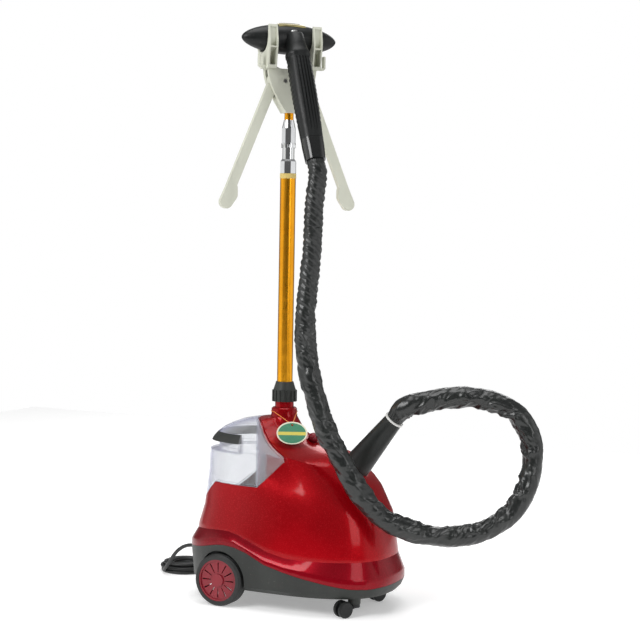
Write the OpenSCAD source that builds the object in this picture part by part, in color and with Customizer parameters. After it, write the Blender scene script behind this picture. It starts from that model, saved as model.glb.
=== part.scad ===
// Garment steamer: a wheeled boiler body with a lift-off water tank, a telescopic pole,
// a hanger head that cradles the steam head, and a steam hose in a cloth sleeve.
// +X is the front, +Z is up, and the origin is on the floor under the middle of the body.

/* [Body] */
// Length of the body over the skirt
body_length = 350; // [330:1:380]
// Width of the body over the skirt
body_width = 234; // [224:1:250]
// Wall thickness of the plastic casings
shell_wall = 2.5; // [2:0.1:3.2]
// Height of the pan's underside above the floor
pan_floor_z = 27; // [26:0.5:32]
// Height of the pan's top edge at the front
pan_edge_front = 44; // [40:1:48]
// Height of the pan's top edge over the rear wheels
pan_edge_peak = 98; // [95:1:102]
// How far the upper housing stands back behind the skirt
ledge = 10; // [8:0.5:12]
// Height of the ledge at the front
ledge_front_z = 85; // [82:1:90]
// Height of the ledge over the rear wheels
ledge_rear_z = 118; // [114:1:122]
// Height of the shoulder crease at the middle of the body
shoulder_z = 242; // [236:1:248]
// Height at which the roof meets the neck
roof_z = 294; // [290:1:300]

/* [Pole] */
// Distance of the pole behind the middle of the body
pole_back = 28; // [24:1:32]
// Outer diameter of the outer tube
outer_tube_d = 25; // [24:0.5:26]
// Outer diameter of the middle tube
mid_tube_d = 19; // [18:0.5:20]
// Outer diameter of the top tube
top_tube_d = 14.5; // [13.5:0.5:15.5]
// Wall thickness of the tubes
tube_wall = 1; // [0.8:0.1:1.2]
// Length of the outer tube above the body
outer_tube_rise = 326; // [300:1:350]
// Travel of each of the two sliding tubes
pole_travel = 280; // [240:1:300]
// Top tube showing between the upper lock and the head
top_tube_show = 11; // [8:1:20]
// Running clearance of the sliding tubes, on the radius
slide_gap = 0.08; // [0.05:0.01:0.1]

/* [Hanger head] */
// Turn of the head about the pole, from facing the right side towards the front
head_turn = 50; // [40:1:60]
// Width of the shield
shield_w = 82; // [78:1:86]
// Height of the shield
shield_h = 69; // [66:1:72]
// Depth of the shield
shield_d = 24; // [22:0.5:26]
// Length of a hanger arm from its pivot to the end of its paddle
arm_length = 221; // [200:1:235]
// Droop of a hanger arm from the vertical
arm_droop = 22.5; // [20:0.5:26]
// Width of a hanger arm
arm_w = 15.5; // [14:0.5:17]
// Thickness of a hanger arm
arm_t = 9; // [8:0.5:10]
// Spacing of the two cradle arms, middle to middle
cradle_spacing = 76; // [74:1:80]
// Width of a cradle arm
cradle_w = 15; // [13:0.5:16]

/* [Steam head] */
// Length of the nozzle
nozzle_length = 162; // [150:1:170]
// Greatest diameter of the nozzle
nozzle_d = 48; // [44:1:50]
// Height of the nozzle's axis above the shield
nozzle_rise = 48; // [44:1:52]
// Length of the handle
handle_length = 225; // [205:1:240]
// Width of the handle
handle_w = 37; // [34:0.5:40]
// Slope of the handle from the vertical
handle_slope = 24.5; // [22:0.5:27]

/* [Tank] */
// Height of the tank bay's floor
bay_floor_z = 140; // [136:1:144]
// Height of the notch in the sides of the upper housing
notch_z = 190; // [186:1:194]
// Wall thickness of the tank
tank_wall = 2.2; // [2:0.1:2.6]
// Clearance around the tank
tank_gap = 0.5; // [0.4:0.1:0.8]
// How far the tank lifts off
tank_lift = 120; // [100:1:150]

/* [Wheels] */
// Diameter of the rear wheels
wheel_d = 82; // [78:1:86]
// Width of the rear wheels
wheel_w = 26; // [24:0.5:28]
// Distance of the rear wheels behind the middle of the body
wheel_back = 82; // [78:1:86]
// Diameter of the rear axle
axle_d = 8; // [7:0.5:9]
// Diameter of the caster wheels
caster_d = 26; // [25.5:0.5:27]
// Distance of the caster stems ahead of the middle of the body
caster_ahead = 132; // [128:1:134]
// Distance of the caster stems from the middle line
caster_side = 64; // [62:1:66]
// Trail of the caster wheels behind their stems
caster_trail = 21; // [20:0.5:22]
// Resting swivel of the casters
caster_yaw = 61; // [55:1:65]

/* [Hose and cord] */
// Diameter of the sleeved steam hose
hose_d = 30; // [28:0.5:31]
// Diameter of the power cord
cord_d = 6; // [5.5:0.1:6.5]
// Length of the hose connector on the body
cuff_length = 90; // [80:1:95]
// Diameter of the connector at the body
cuff_base_d = 44; // [42:0.5:46]

/* [Hidden] */
$fn = 48;

// Plan of the body
half_len = body_length / 2;
half_wid = body_width / 2;
pole_x = -pole_back;
oval_n = 2.6;         // exponent of the plan's superellipse
ring_points = 56;     // points on each ring of a lofted casing
seam = 0.3;           // gap between two casings
fit = 0.1;            // gap of a fixed fit
turn_gap = 0.06;      // running clearance of a wheel or pivot, on the radius
side_gap = 0.5;       // gap beside a turning part

// Heights along the body as [place along the half length, share of the rise]
edge_sweep = [[-1, .65], [-.75, .78], [-.5, .97], [-.37, 1], [-.22, .9], [0, .57], [.25, .36],
              [.55, .17], [.75, .04], [.9, 0], [1, .02]];
crease_sweep = [[-1, .62], [-.8, .85], [-.52, 1], [-.36, 1], [-.2, .7], [-.06, .36], [.08, .1],
                [.22, .02], [.4, 0], [1, 0]];
// Height of the red band between the pan's edge and the lip of the ledge
band_sweep = [[-1, 13], [-.77, 14], [-.45, 12], [-.2, 8], [.07, 8], [.33, 12], [.55, 15],
              [.75, 16.5], [1, 16.5]];

// Upper housing: how far each level stands back at the front, rear and side, and its height
waist = [20, 21, 14, 150];
notch_level = [39, 24, 25, notch_z];
brow = [51, 25, 30, 205];
shoulder = [65, 26, 36, shoulder_z];
shoulder_drop = 26;   // fall of the shoulder crease towards the front
shoulder_rise = 9;    // rise of the shoulder crease towards the rear
neck_r = 21.5;        // hole for the pole socket in the roof

// Rise of the roof from the shoulder to the neck, as [way in, share of the rise]
roof_front = [[0, 0], [.1, .2], [.2, .31], [.44, .41], [.73, .5], [.84, .62], [.93, .8], [1, 1]];
roof_side = [[0, 0], [.3, .16], [.6, .38], [.8, .58], [.92, .8], [1, 1]];
roof_rear = [[0, 0], [.05, .2], [.1, .34], [.25, .6], [.5, .83], [.75, .94], [1, 1]];
roof_steps = [.05, .12, .22, .36, .52, .68, .82, .92, 1];

// Tank bay: the tank lies behind a curve in plan and above a notch in the side
bay_apex = -66;       // rearmost point of the curve
bay_depth = 86;       // distance from there to the wing tips
bay_half = 80;        // half width at the wing tips
bay_power = 2.2;
bay_wall = 2.5;
tip_x = bay_apex + bay_depth;
tip_z = shoulder_z - 5;
notch_front_x = -27;
notch_rear_x = -112;
notch_low_x = -150;
tank_foot = 12;       // room under the tank for its cap
tank_z = bay_floor_z + tank_foot;
cover_z = shoulder_z - 4;   // seam between tank and cover at the middle of the body
cover_tilt = 3.5;     // rise of that seam towards the rear, in degrees
grip_end_x = -70;     // front ends of the carrying grip
grip_low = shoulder_z + 11;
grip_high = shoulder_z + 25;
grip_deep = 13;
groove_low = shoulder_z - 3;
cap_x = -105;         // middle of the tank's cap
cap_r = 22;
cap_h = 10;
tank_neck_r = 17;

// Pole, from the bottom up
socket_z = bay_floor_z;
tube_foot_z = 170;
socket_top = roof_z + 24;
socket_ring_r = 20.5;
socket_neck_r = 15;
collar_r = 20;
collar_ribs = 16;
collar_h = 32;
collar_top = socket_top + seam + collar_h;
tube_top = collar_top + outer_tube_rise;
bush_ring_h = 8;
lower_nut_z = tube_top + bush_ring_h;
lower_nut_h = 23;
lower_nut_d = 26.5;
mid_show = 16;        // middle tube showing between the two locks
step_z = lower_nut_z + lower_nut_h + mid_show;
step_h = 9;
upper_nut_z = step_z + step_h;
upper_nut_h = 24;
upper_nut_d = 23;
upper_cone_h = 13;
head_z = upper_nut_z + upper_nut_h + upper_cone_h + top_tube_show;
mid_foot_z = 190;
top_foot_z = 205;
foot_h = 15;
bush_depth = 36;      // how deep each bush reaches into its tube
outer_r = outer_tube_d / 2;
mid_r = mid_tube_d / 2;
top_r = top_tube_d / 2;

// Hanger head, in its own frame: x along the nozzle, -y forward
shield_top = head_z + shield_h;
head_wall = 2.2;
head_screw_places = [[-12.5, 50], [12.5, 50]];   // sideways and above the neck
shield_neck = 10;     // half width of the shield at its neck
pivot_x = 27;
pivot_z = shield_top - 17;
pivot_r = 3;
arm_hub_r = 10.5;
arm_gap = 0.5;
paddle_r = 11.5;

// Steam head, hung in the cradle
nozzle_r = nozzle_d / 2;
nozzle_back = 5;      // nozzle's axis behind the pole's axis
nozzle_z = shield_top + nozzle_rise;
nozzle_power = 0.56;  // roundness of the nozzle's ends
cradle_clear = 0.5;
handle_off = 21.8;    // handle's axis ahead of the nozzle's axis
cap_start = handle_length - 36;
handle_half = handle_w / 2;
pipe_r = 6;
handle_bore = 8;
plate_h = 16;         // face of the steam plate, from the nozzle's axis
plate_t = 3;
plate_lean = 60;      // how far that face leans back from straight up
nozzle_wall = 2.5;
cradle_x = cradle_spacing / 2;
cradle_r = nozzle_r * pow(1 - pow((cradle_x - cradle_w / 2) / (nozzle_length / 2), 2), nozzle_power) + cradle_clear;
cradle_foot = shield_top - nozzle_z;   // top of the shield from the nozzle's axis
cradle_tip = 20;      // top of a cradle arm above the nozzle's axis
hook_w = 11.5;
hook_h = 23;
grip_wall = 2.5;
grip_grooves = [-10, -5, 0, 5, 10];   // sideways places of the grooves
handle_screw_places = [53, 105, 165];   // down the handle
// Grip sections as [place along the handle, half width, half depth]
grip_sections = [[4, handle_half - 6, 12], [8, handle_half - 5.3, 14.5], [26, handle_half - 3.6, 15.6],
                 [37, handle_half - .2, 16.8], [39, handle_half + .9, 17.6], [44, handle_half + .9, 17.6],
                 [46, handle_half - .4, 16.8],
                 for (i = [0:13]) let (swell = 1.3 * sin(180 * (i + .5) / 14))
                     each [[50 + 8 * i, handle_half + swell, 17 + swell / 2], [54 + 8 * i, handle_half + swell - 1.2, 17 + swell / 2]],
                 [162, handle_half - .3, 16.8], [172, handle_half - 1, 16.5], [cap_start - seam, handle_half - 1.5, 16]];
grip_core = [[4, handle_half - 6, 12], [8, handle_half - 5.3, 14.5], [26, handle_half - 3.6, 15.6],
             [37, handle_half - .5, 16.6], [50, handle_half - 1.2, 16.2],
             [162, handle_half - 1.2, 16.2], [cap_start - seam, handle_half - 1.5, 16]];
cap_sections = [[cap_start, handle_half - 1.5, 16], [cap_start + 12, handle_half - 1.7, 16.4],
                [handle_length, 15.3, 15.3]];

// Hose connector, leaning forward out of the roof
cuff_base = [half_len - 67, 0, shoulder_z - 12];
cuff_lean = 39;       // from the vertical, towards the front
cuff_top_d = hose_d - 0.5;
cuff_inside = 26;     // length below the roof
ring_h = 3;

// Power knob, set on the roof ahead of the pole
knob_at = [25.5, 0, mix(shoulder_z - shoulder_drop, roof_z, .5064)];
knob_r = 8.5;
knob_shaft_r = 3;

// Hang tag
tag_at = [9, -44, mix(shoulder_z, roof_z, .606)];
tag_size = [49, 39, 1.2];
tag_turn = 26;
tag_lean = 32;
tag_hole = 14;        // hole above the tag's middle
string_r = 0.6;
string_z = roof_z + 8;

// Wheels and casters
wheel_r = wheel_d / 2;
rim_r = wheel_r - 8;
wheel_in = half_wid + 1 - wheel_w;   // inner face of a rear wheel, from the middle line
arch_r = wheel_r + 4.5;
arch_in = wheel_in - 3;
caster_r = caster_d / 2;
stem_r = 4;
boss_r = 10;
boss_drop = 7;
boss_z = pan_floor_z - boss_drop;
axle_reach = half_wid - 3;   // from the middle line to the end of the axle
slits = 12;
caster_axle_r = 2.2;
disc_w = 6.5;
disc_gap = 7;

// Boiler and what feeds it
boiler_at = [62, 0, 52];
boiler_r = 42;
boiler_h = 62;
post_r = 5;
screw_places = [for (x = [-140, 100], y = [-60, 60]) [x, y], [-20, -88], [-20, 88]];
bay_posts = [[-105, 55], [-105, -55]];
rest_pads = [for (x = [-122, -80], y = [-56, 56]) [x, y]];

// Power cord: out of the gland at the rear, down to the floor and into the coil
gland_at = [-half_len, 15, 62];
gland_length = 26;
cord_r = cord_d / 2;
coil_at = [-262, 86];
coil_mid_r = 33;
coil_layers = 3;
plug_at = [-226, coil_at.y + coil_mid_r + cord_d - .05, 10];   // where the lead enters the plug
cord_route = [[-215, 16, 60], [-230, 18, 53], [-244, 22, 41], [-256, 28, 27], [-268, 36, 15],
              [-278, 46, 7], [-287, 58, 3.4], [-293, 71, 3.2], [-295, 86, 3.2]];
hose_seam = [57, -78, 600];
hose_top_route = [[59, -75, 655], [57, -76, 628], hose_seam + [0, 0, .4]];
hose_route = [hose_seam, [57, -80, 572], [56, -83, 540], [54, -87, 505], [53, -90, 470], [53, -92, 440],
              [58, -94, 400], [66, -96, 365], [76, -96, 335], [87, -96, 303], [102, -94, 272],
              [119, -91, 243], [133, -86, 217], [148, -80, 192], [166, -70, 168],
              [190, -56, 148], [222, -35, 134], [262, -9, 128], [302, 16, 134],
              [334, 36, 152], [355, 50, 178], [367, 60, 210], [371, 66, 245], [367, 68, 279],
              [352, 65, 307], [328, 59, 327], [296, 48, 337], [262, 34, 340], [230, 20, 336],
              [203, 8, 329]];

// ---- Helpers ----

function smooth(t) = let (c = max(0, min(1, t))) c * c * (3 - 2 * c);
function mix(a, b, t) = a + (b - a) * t;
function power(v, n) = sign(v) * pow(abs(v), n);
function at_z(ring, z) = [for (p = ring) [p.x, p.y, z]];
function reversed(list) = [for (i = [len(list) - 1:-1:0]) list[i]];

// A superellipse in plan, from its front, rear and side extents
function oval(front, rear, half) =
    [for (i = [0:ring_points - 1]) let (t = 360 * i / ring_points)
        [(front - rear) / 2 + (front + rear) / 2 * power(cos(t), 2 / oval_n),
         half * power(sin(t), 2 / oval_n)]];

// Heights along the body
function edge_z(x) = pan_edge_front + (pan_edge_peak - pan_edge_front) * lookup(x / half_len, edge_sweep);
function lip_z(x) = edge_z(x) + lookup(x / half_len, band_sweep);
function crease_z(x) = ledge_front_z + (ledge_rear_z - ledge_front_z) * lookup(x / half_len, crease_sweep);
function shoulder_at(x) = x > 0 ? shoulder_z - shoulder_drop * pow(x / (half_len - shoulder[0]), 1.3)
                                : shoulder_z - shoulder_rise * x / half_len;

// A ring that stands back from the body's outline, at a height that varies along x
function inset_ring(back, height) =
    [for (p = oval(half_len - back, half_len - back, half_wid - back)) [p.x, p.y, height(p.x)]];

// A ring at one of the upper housing's levels, drawn in by a wall
function level_ring(level, wall) =
    at_z(oval(half_len - level[0] - wall, half_len - level[1] - wall, half_wid - level[2] - wall), level[3]);
function shoulder_ring(wall) =
    [for (p = level_ring(shoulder, wall)) [p.x, p.y, shoulder_at(p.x) - wall]];

// Share of the roof's rise at a way in t and a turn a about the neck
function roof_share(t, a) =
    mix(mix(lookup(t, roof_front), lookup(t, roof_side), pow(abs(sin(a)), 2)),
        lookup(t, roof_rear), smooth((0.2 - cos(a)) / 0.6));
function roof_ring(t, wall) =
    let (low = shoulder_ring(wall))
    [for (i = [0:ring_points - 1]) let (a = 360 * i / ring_points)
        [mix(low[i].x, pole_x + neck_r * cos(a), t), mix(low[i].y, neck_r * sin(a), t),
         mix(low[i].z, roof_z - wall, roof_share(t, a))]];
function housing_rings(wall) =
    [level_ring(waist, wall), level_ring(notch_level, wall), level_ring(brow, wall),
     shoulder_ring(wall), for (t = roof_steps) roof_ring(t, wall)];

// A closed solid through rings of equal count, capped at both ends
module loft(rings) {
    m = len(rings[0]);
    k = len(rings);
    low = [for (i = [0:2]) [for (p = rings[0]) p[i]] * [for (p = rings[0]) 1] / m];
    high = [for (i = [0:2]) [for (p = rings[k - 1]) p[i]] * [for (p = rings[0]) 1] / m];
    polyhedron([for (r = rings) each r, low, high],
        [for (i = [0:k - 2], j = [0:m - 1]) let (a = i * m + j, b = i * m + (j + 1) % m)
            each [[a, a + m, b], [b, a + m, b + m]],
         for (j = [0:m - 1]) each [[k * m, j, (j + 1) % m],
            [k * m + 1, (k - 1) * m + (j + 1) % m, (k - 1) * m + j]]]);
}

// A closed band through rings of equal count, the last joined to the first
module band(rings) {
    m = len(rings[0]);
    k = len(rings);
    polyhedron([for (r = rings) each r],
        [for (i = [0:k - 1], j = [0:m - 1])
            let (a = i * m + j, b = i * m + (j + 1) % m, c = (i + 1) % k * m + j, d = (i + 1) % k * m + (j + 1) % m)
            each [[a, c, b], [b, c, d]]]);
}

// A tube of given radius and sides swept along a route of points
module sweep(route, r, sides) {
    last = len(route) - 1;
    t = [for (i = [0:last]) unit(route[min(i + 1, last)] - route[max(i - 1, 0)])];
    u = carried(t);
    loft([for (i = [0:last]) [for (j = [0:sides - 1])
        route[i] + r * (cos(360 * j / sides) * u[i] + sin(360 * j / sides) * cross(t[i], u[i]))]]);
}

// A side direction carried along the directions t without twisting
function carried(t, i = 0, u = [0.2, 1, 0]) =
    i == len(t) ? [] : let (v = unit(u - (u * t[i]) * t[i])) [v, each carried(t, i + 1, v)];
function unit(v) = v / norm(v);

module ring(outer, inner, h) {
    difference() {
        cylinder(r = outer, h = h);
        translate([0, 0, -1]) cylinder(r = inner, h = h + 2);
    }
}

// Puts children at the pole's axis
module on_pole(z = 0) { translate([pole_x, 0, z]) children(); }

// Copies children to both sides of the body's middle plane
module both_sides() { children(); mirror([0, 1, 0]) children(); }

// ---- Body casings ----

module pan_shell() {
    w = shell_wall;
    loft([inset_ring(24, function(x) pan_floor_z), inset_ring(10, function(x) pan_floor_z + 1.5),
          inset_ring(4, function(x) pan_floor_z + 8), inset_ring(0, function(x) edge_z(x)),
          inset_ring(w, function(x) edge_z(x)), inset_ring(4 + w, function(x) pan_floor_z + 8),
          inset_ring(10 + w, function(x) pan_floor_z + w + 1.5), inset_ring(24 + w, function(x) pan_floor_z + w)]);
}

module pan_outer() {
    loft([inset_ring(24, function(x) pan_floor_z), inset_ring(10, function(x) pan_floor_z + 1.5),
          inset_ring(4, function(x) pan_floor_z + 8), inset_ring(0, function(x) edge_z(x))]);
}

module arch(r, inner) {
    translate([-wheel_back, inner, wheel_r]) rotate([-90, 0, 0]) cylinder(r = r, h = half_wid);
}

module base_pan() {
    w = shell_wall;
    color("dimgray") difference() {
        union() {
            pan_shell();
            intersection() {
                pan_outer();
                both_sides() arch(arch_r + w, arch_in - w);
            }
            // posts under the pole socket and the boiler
            on_pole(pan_floor_z + 1) cylinder(r = 12, h = socket_z - pan_floor_z - 1);
            for (a = [45:90:315])
                translate([boiler_at.x + 30 * cos(a), 30 * sin(a), pan_floor_z + 1])
                    cylinder(r = post_r, h = boiler_at.z - pan_floor_z - 1);
            // caster bosses, bored for the stems
            both_sides() translate([caster_ahead, caster_side, boss_z])
                cylinder(r = boss_r, h = boss_drop + w + 12);
            // axle bearers between the arches
            both_sides() translate([-wheel_back, arch_in - 1, wheel_r]) rotate([90, 0, 0])
                cylinder(r = axle_d / 2 + 4, h = 24);
            for (p = bay_posts) translate([p.x, p.y, pan_floor_z + 1]) cylinder(r = post_r, h = bay_floor_z - 4 - pan_floor_z);
        }
        both_sides() arch(arch_r, arch_in);
        translate([-wheel_back, -half_wid, wheel_r]) rotate([-90, 0, 0])
            cylinder(d = axle_d + 2 * fit, h = body_width);
        both_sides() translate([caster_ahead, caster_side, boss_z - 1])
            cylinder(r = stem_r + turn_gap, h = boss_drop + 14);
        translate([gland_at.x - 1, gland_at.y, gland_at.z]) rotate([0, 90, 0]) cylinder(r = cord_r + 2.1, h = 12);
        for (p = screw_places) translate([p.x, p.y, pan_floor_z - 1]) cylinder(r = 2, h = 12);
    }
}

module base_screws() {
    color("silver") for (p = screw_places) translate([p.x, p.y, pan_floor_z - 2]) {
        cylinder(r = 3.6, h = 1.9);
        cylinder(r = 1.9, h = 10);
    }
}

module skirt() {
    w = shell_wall;
    color("firebrick") band([
        inset_ring(.4, function(x) edge_z(x) + .02),
        inset_ring(0, function(x) edge_z(x) + .6),
        inset_ring(0, function(x) lip_z(x) - 3),
        inset_ring(1.2, function(x) lip_z(x)),
        inset_ring(ledge, function(x) crease_z(x)),
        inset_ring(ledge, function(x) crease_z(x) - w),
        inset_ring(w + 1.2, function(x) lip_z(x) - w),
        inset_ring(w, function(x) edge_z(x) + .02)]);
}

// Plan line in front of the tank: x at a distance y from the middle, moved back by g
function bay_x(y, g) =
    let (s = abs(y) / bay_half)
    bay_apex + bay_depth * pow(s, bay_power)
        - g * sqrt(1 + pow(bay_power * bay_depth / bay_half * pow(s, bay_power - 1), 2));
function bay_line(g) = [for (y = [-100:5:100]) [bay_x(y, g), y]];

// Everything behind that line
module behind(g, low = 100, high = 340) {
    translate([0, 0, low]) linear_extrude(high - low)
        polygon([[-half_len - 40, -100], each bay_line(g), [-half_len - 40, 100]]);
}

// Everything above the notch in the sides, raised by g
module above_notch(g) {
    rotate([90, 0, 0]) linear_extrude(2 * half_wid + 40, center = true)
        polygon([[-half_len - 40, tank_z + g], [notch_low_x, tank_z + g], [notch_rear_x, notch_z + g],
                 [notch_front_x, notch_z + g], [tip_x, tip_z + g], [tip_x + 80, tip_z + 40],
                 [tip_x + 80, roof_z + 60], [-half_len - 40, roof_z + 60]]);
}

function cuff_axis() = [sin(cuff_lean), 0, cos(cuff_lean)];
module on_cuff() { translate(cuff_base) rotate([0, cuff_lean, 0]) children(); }

module upper_housing() {
    w = shell_wall;
    foot = [[0, -6], [0, 0], [1, 8]];
    outer = [for (f = foot) inset_ring(ledge + f[0], function(x) crease_z(x) + f[1]), each housing_rings(0)];
    inner = [for (f = foot) inset_ring(ledge + w + f[0], function(x) crease_z(x) + f[1]), each housing_rings(w)];
    color("firebrick") difference() {
        union() {
            band([each outer, each reversed(inner)]);
            translate(knob_at - [0, 0, 12]) cylinder(r = knob_r + 2, h = 12);
            // wall behind the knob where the roof rises past its seat
            intersection() {
                translate(knob_at - [0, 0, 12]) cylinder(r = knob_r + 3.5, h = 18);
                translate(knob_at - [20, 20, 12]) cube([14, 40, 20]);
            }
        }
        translate(knob_at) cylinder(r = knob_r + 1, h = 30);
        intersection() {
            behind(0);
            above_notch(0);
        }
        on_cuff() translate([0, 0, -60]) cylinder(d = cuff_base_d + 2 * seam, h = 120);
        translate(knob_at - [0, 0, 30]) cylinder(r = knob_shaft_r + turn_gap, h = 40);
    }
}

module tank_bay() {
    w = shell_wall;
    floor_half = half_wid - waist[2] - w - seam;
    floor_rear = half_len - waist[1] - w - seam;
    color("firebrick") difference() {
        union() {
            intersection() {
                translate([0, 0, bay_floor_z - 3]) linear_extrude(3) polygon(oval(floor_rear, floor_rear, floor_half));
                behind(0);
            }
            intersection() {
                difference() { behind(0, bay_floor_z - 1); behind(bay_wall, bay_floor_z - 2); }
                loft([inset_ring(ledge + 1 + w + seam, function(x) crease_z(x) + 8), each housing_rings(w + seam)]);
            }
            translate([cap_x, 0, bay_floor_z - 6]) cylinder(r = 9, h = 6);
            for (p = rest_pads) translate([p.x, p.y, bay_floor_z - 1]) cylinder(r = 5, h = tank_foot + tank_gap + .7);
        }
        translate([cap_x, 0, bay_floor_z - 10]) cylinder(r = 4, h = 20);
    }
}

// ---- Tank ----

// Plan of the tank inside its bay, drawn in by g
function tank_plan(g) =
    oval(half_len - notch_level[0] - g, half_len - notch_level[1] - shell_wall - 1 - g,
         half_wid - notch_level[2] - shell_wall - 1 - g);
tank_front = bay_wall + tank_gap;

module tank_foot_block(g) {
    translate([0, 0, tank_z + tank_gap + g]) linear_extrude(notch_z - tank_z + .01) polygon(tank_plan(g));
}

// The room inside the upper housing's envelope, drawn in by g
module envelope(g) { loft([level_ring([waist[0], waist[1], waist[2], bay_floor_z], g), each housing_rings(g)]); }

module under_seam(g) {
    translate([0, 0, cover_z - g]) rotate([0, cover_tilt, 0]) translate([-400, -200, -300]) cube([800, 400, 300]);
}

// Recess round the rear of the tank for the carrying grip and the fingers under it
module grip_recess(g) {
    difference() {
        translate([-half_len - 20, -half_wid, groove_low - g])
            cube([half_len + 20 + grip_end_x + g, body_width, grip_high - groove_low + 2 * g]);
        translate([0, 0, groove_low - 20]) linear_extrude(100)
            polygon(oval(half_len - shoulder[0] - grip_deep - g, half_len - shoulder[1] - grip_deep - g,
                         half_wid - shoulder[2] - grip_deep - g));
    }
}

module water_tank() {
    t = tank_wall;
    color([0.85, 0.87, 0.92, 0.5]) difference() {
        intersection() {
            union() {
                intersection() { envelope(0); above_notch(tank_gap); }
                tank_foot_block(0);
            }
            behind(tank_front);
            under_seam(0);
        }
        intersection() {
            union() {
                intersection() { envelope(t); above_notch(tank_gap + t); }
                tank_foot_block(t);
            }
            behind(tank_front + t);
            difference() {
                translate([-half_len, -half_wid, 0]) cube([half_len + notch_front_x - t, body_width, 400]);
                grip_recess(t);
            }
        }
        intersection() {
            envelope(t);
            translate([notch_front_x, -half_wid, 0]) cube([half_len, body_width, 400]);
        }
        grip_recess(0);
        translate([cap_x, 0, tank_z - 1]) cylinder(r = tank_neck_r - t, h = 6);
    }
    color([0.85, 0.87, 0.92, 0.5]) translate([cap_x, 0, tank_z - 5]) ring(tank_neck_r, tank_neck_r - t, 5 + tank_gap);
}

module tank_cover() {
    t = tank_wall;
    color([0.85, 0.87, 0.92, 0.5]) difference() {
        intersection() { envelope(0); behind(tank_front); }
        intersection() {
            envelope(t);
            difference() { behind(tank_front + t); grip_recess(t); }
        }
        under_seam(-fit);
        grip_recess(0);
    }
}

module tank_handle() {
    color("dimgray") intersection() {
        difference() {
            envelope(0);
            translate([0, 0, grip_low - 20]) linear_extrude(100)
                polygon(oval(half_len - shoulder[0] - grip_deep + fit, half_len - shoulder[1] - grip_deep + fit,
                             half_wid - shoulder[2] - grip_deep + fit));
        }
        translate([-half_len - 20, -half_wid, grip_low])
            cube([half_len + 20 + grip_end_x - fit, body_width, grip_high - fit - grip_low]);
    }
}

module tank_cap() {
    color("dimgray") translate([cap_x, 0, tank_z - cap_h]) difference() {
        cylinder(r = cap_r, h = cap_h - fit);
        translate([0, 0, 3]) cylinder(r = tank_neck_r + turn_gap, h = cap_h);
        translate([0, 0, -1]) cylinder(r = 3 + turn_gap, h = 8);
    }
}

module valve_pin() {
    color("orangered") translate([cap_x, 0, tank_z - cap_h]) {
        translate([0, 0, -1.5]) cylinder(r = 3, h = 6);
        translate([0, 0, 4.5]) cylinder(r = 9, h = 2);
    }
}

// ---- Fixed parts in and on the body ----

module wheel_axle() {
    color("silver") translate([-wheel_back, -axle_reach, wheel_r]) rotate([-90, 0, 0]) {
        cylinder(d = axle_d, h = 2 * axle_reach);
        translate([0, 0, 2 * axle_reach - 1.5]) cylinder(d = axle_d + 5, h = 1.5);
        cylinder(d = axle_d + 5, h = 1.5);
    }
}

module boiler() {
    color("silver") translate(boiler_at) {
        cylinder(r = boiler_r, h = boiler_h - 8);
        translate([0, 0, boiler_h - 8]) cylinder(r1 = boiler_r, r2 = boiler_r - 12, h = 8);
        translate([0, 0, boiler_h - 1]) cylinder(r = 10, h = 6);
        translate([-boiler_r + 2, 0, 28]) rotate([0, -90, 0]) cylinder(r = 7, h = 10);
    }
}

module thermostat() {
    color("black") translate([boiler_at.x + 4, 24, boiler_at.z + boiler_h + .05]) {
        cylinder(r = 7, h = 5);
        translate([0, 0, 5]) cylinder(r = 5, h = 4);
    }
}

// From the valve seat under the tank down into the side of the boiler
feed_route = [[cap_x, 0, bay_floor_z - 5], [cap_x, 0, 122], [cap_x + 4, 2, 108], [cap_x + 16, 6, 94],
              [cap_x + 34, 12, 85], [-52, 18, 81], [-34, 20, 80], [-14, 16, 80], [-2, 7, 80],
              [boiler_at.x - boiler_r - 16, 0, 80], [boiler_at.x - boiler_r - 8, 0, 80]];

module feed_tube() {
    color("white") sweep(feed_route, 4, 10);
}

module steam_pipe() {
    route = [[boiler_at.x, 0, boiler_at.z + boiler_h + 5], [boiler_at.x, 0, 140], [boiler_at.x + 3, 0, 160],
             [boiler_at.x + 10, 0, 180], cuff_base - (cuff_inside + 8) * cuff_axis(),
             cuff_base - (cuff_inside + .05) * cuff_axis()];
    color("silver") sweep(route, 6, 12);
}

module hose_connector() {
    wall = 3;
    color("silver") on_cuff() difference() {
        union() {
            cylinder(d1 = cuff_base_d, d2 = cuff_top_d, h = cuff_length);
            translate([0, 0, -cuff_inside]) cylinder(d = cuff_base_d, h = cuff_inside);
            translate([0, 0, -cuff_inside]) cylinder(d = cuff_base_d + 8, h = 3);
        }
        translate([0, 0, 2]) cylinder(d1 = cuff_base_d - 2 * wall, d2 = cuff_top_d - 2 * wall, h = cuff_length);
        translate([0, 0, 1 - cuff_inside]) cylinder(r = 9, h = cuff_inside + 10);
    }
}

module connector_ring() {
    color("white") on_cuff() translate([0, 0, cuff_length]) ring(cuff_top_d / 2 + 1.2, cuff_top_d / 2 - 3, ring_h);
}

module switch_block() {
    color("black") translate([knob_at.x, knob_at.y, knob_at.z - 44]) {
        difference() {
            translate([-10, -9, 0]) cube([20, 18, 22]);
            translate([0, 0, 10]) cylinder(r = knob_shaft_r + turn_gap, h = 20);
        }
        // bracket across to the roof's post
        both_sides() translate([-3, 8, 10]) cube([6, 3, 16]);
    }
}

module cord_gland() {
    color("black") translate(gland_at) rotate([0, -90, 0]) difference() {
        union() {
            translate([0, 0, -6]) cylinder(r = cord_r + 2, h = 8);
            translate([0, 0, .5]) cylinder(r = cord_r + 4, h = 3);
            translate([0, 0, 3]) cylinder(r1 = cord_r + 3, r2 = cord_r + 1.2, h = gland_length - 3);
        }
        for (i = [0:3]) translate([0, 0, 7 + 4.5 * i]) ring(cord_r + 5, cord_r + 1.2, 1.6);
    }
}

module power_cord() {
    color("black") sweep([gland_at - [gland_length, 0, 0], each cord_route], cord_r, 10);
}

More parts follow.
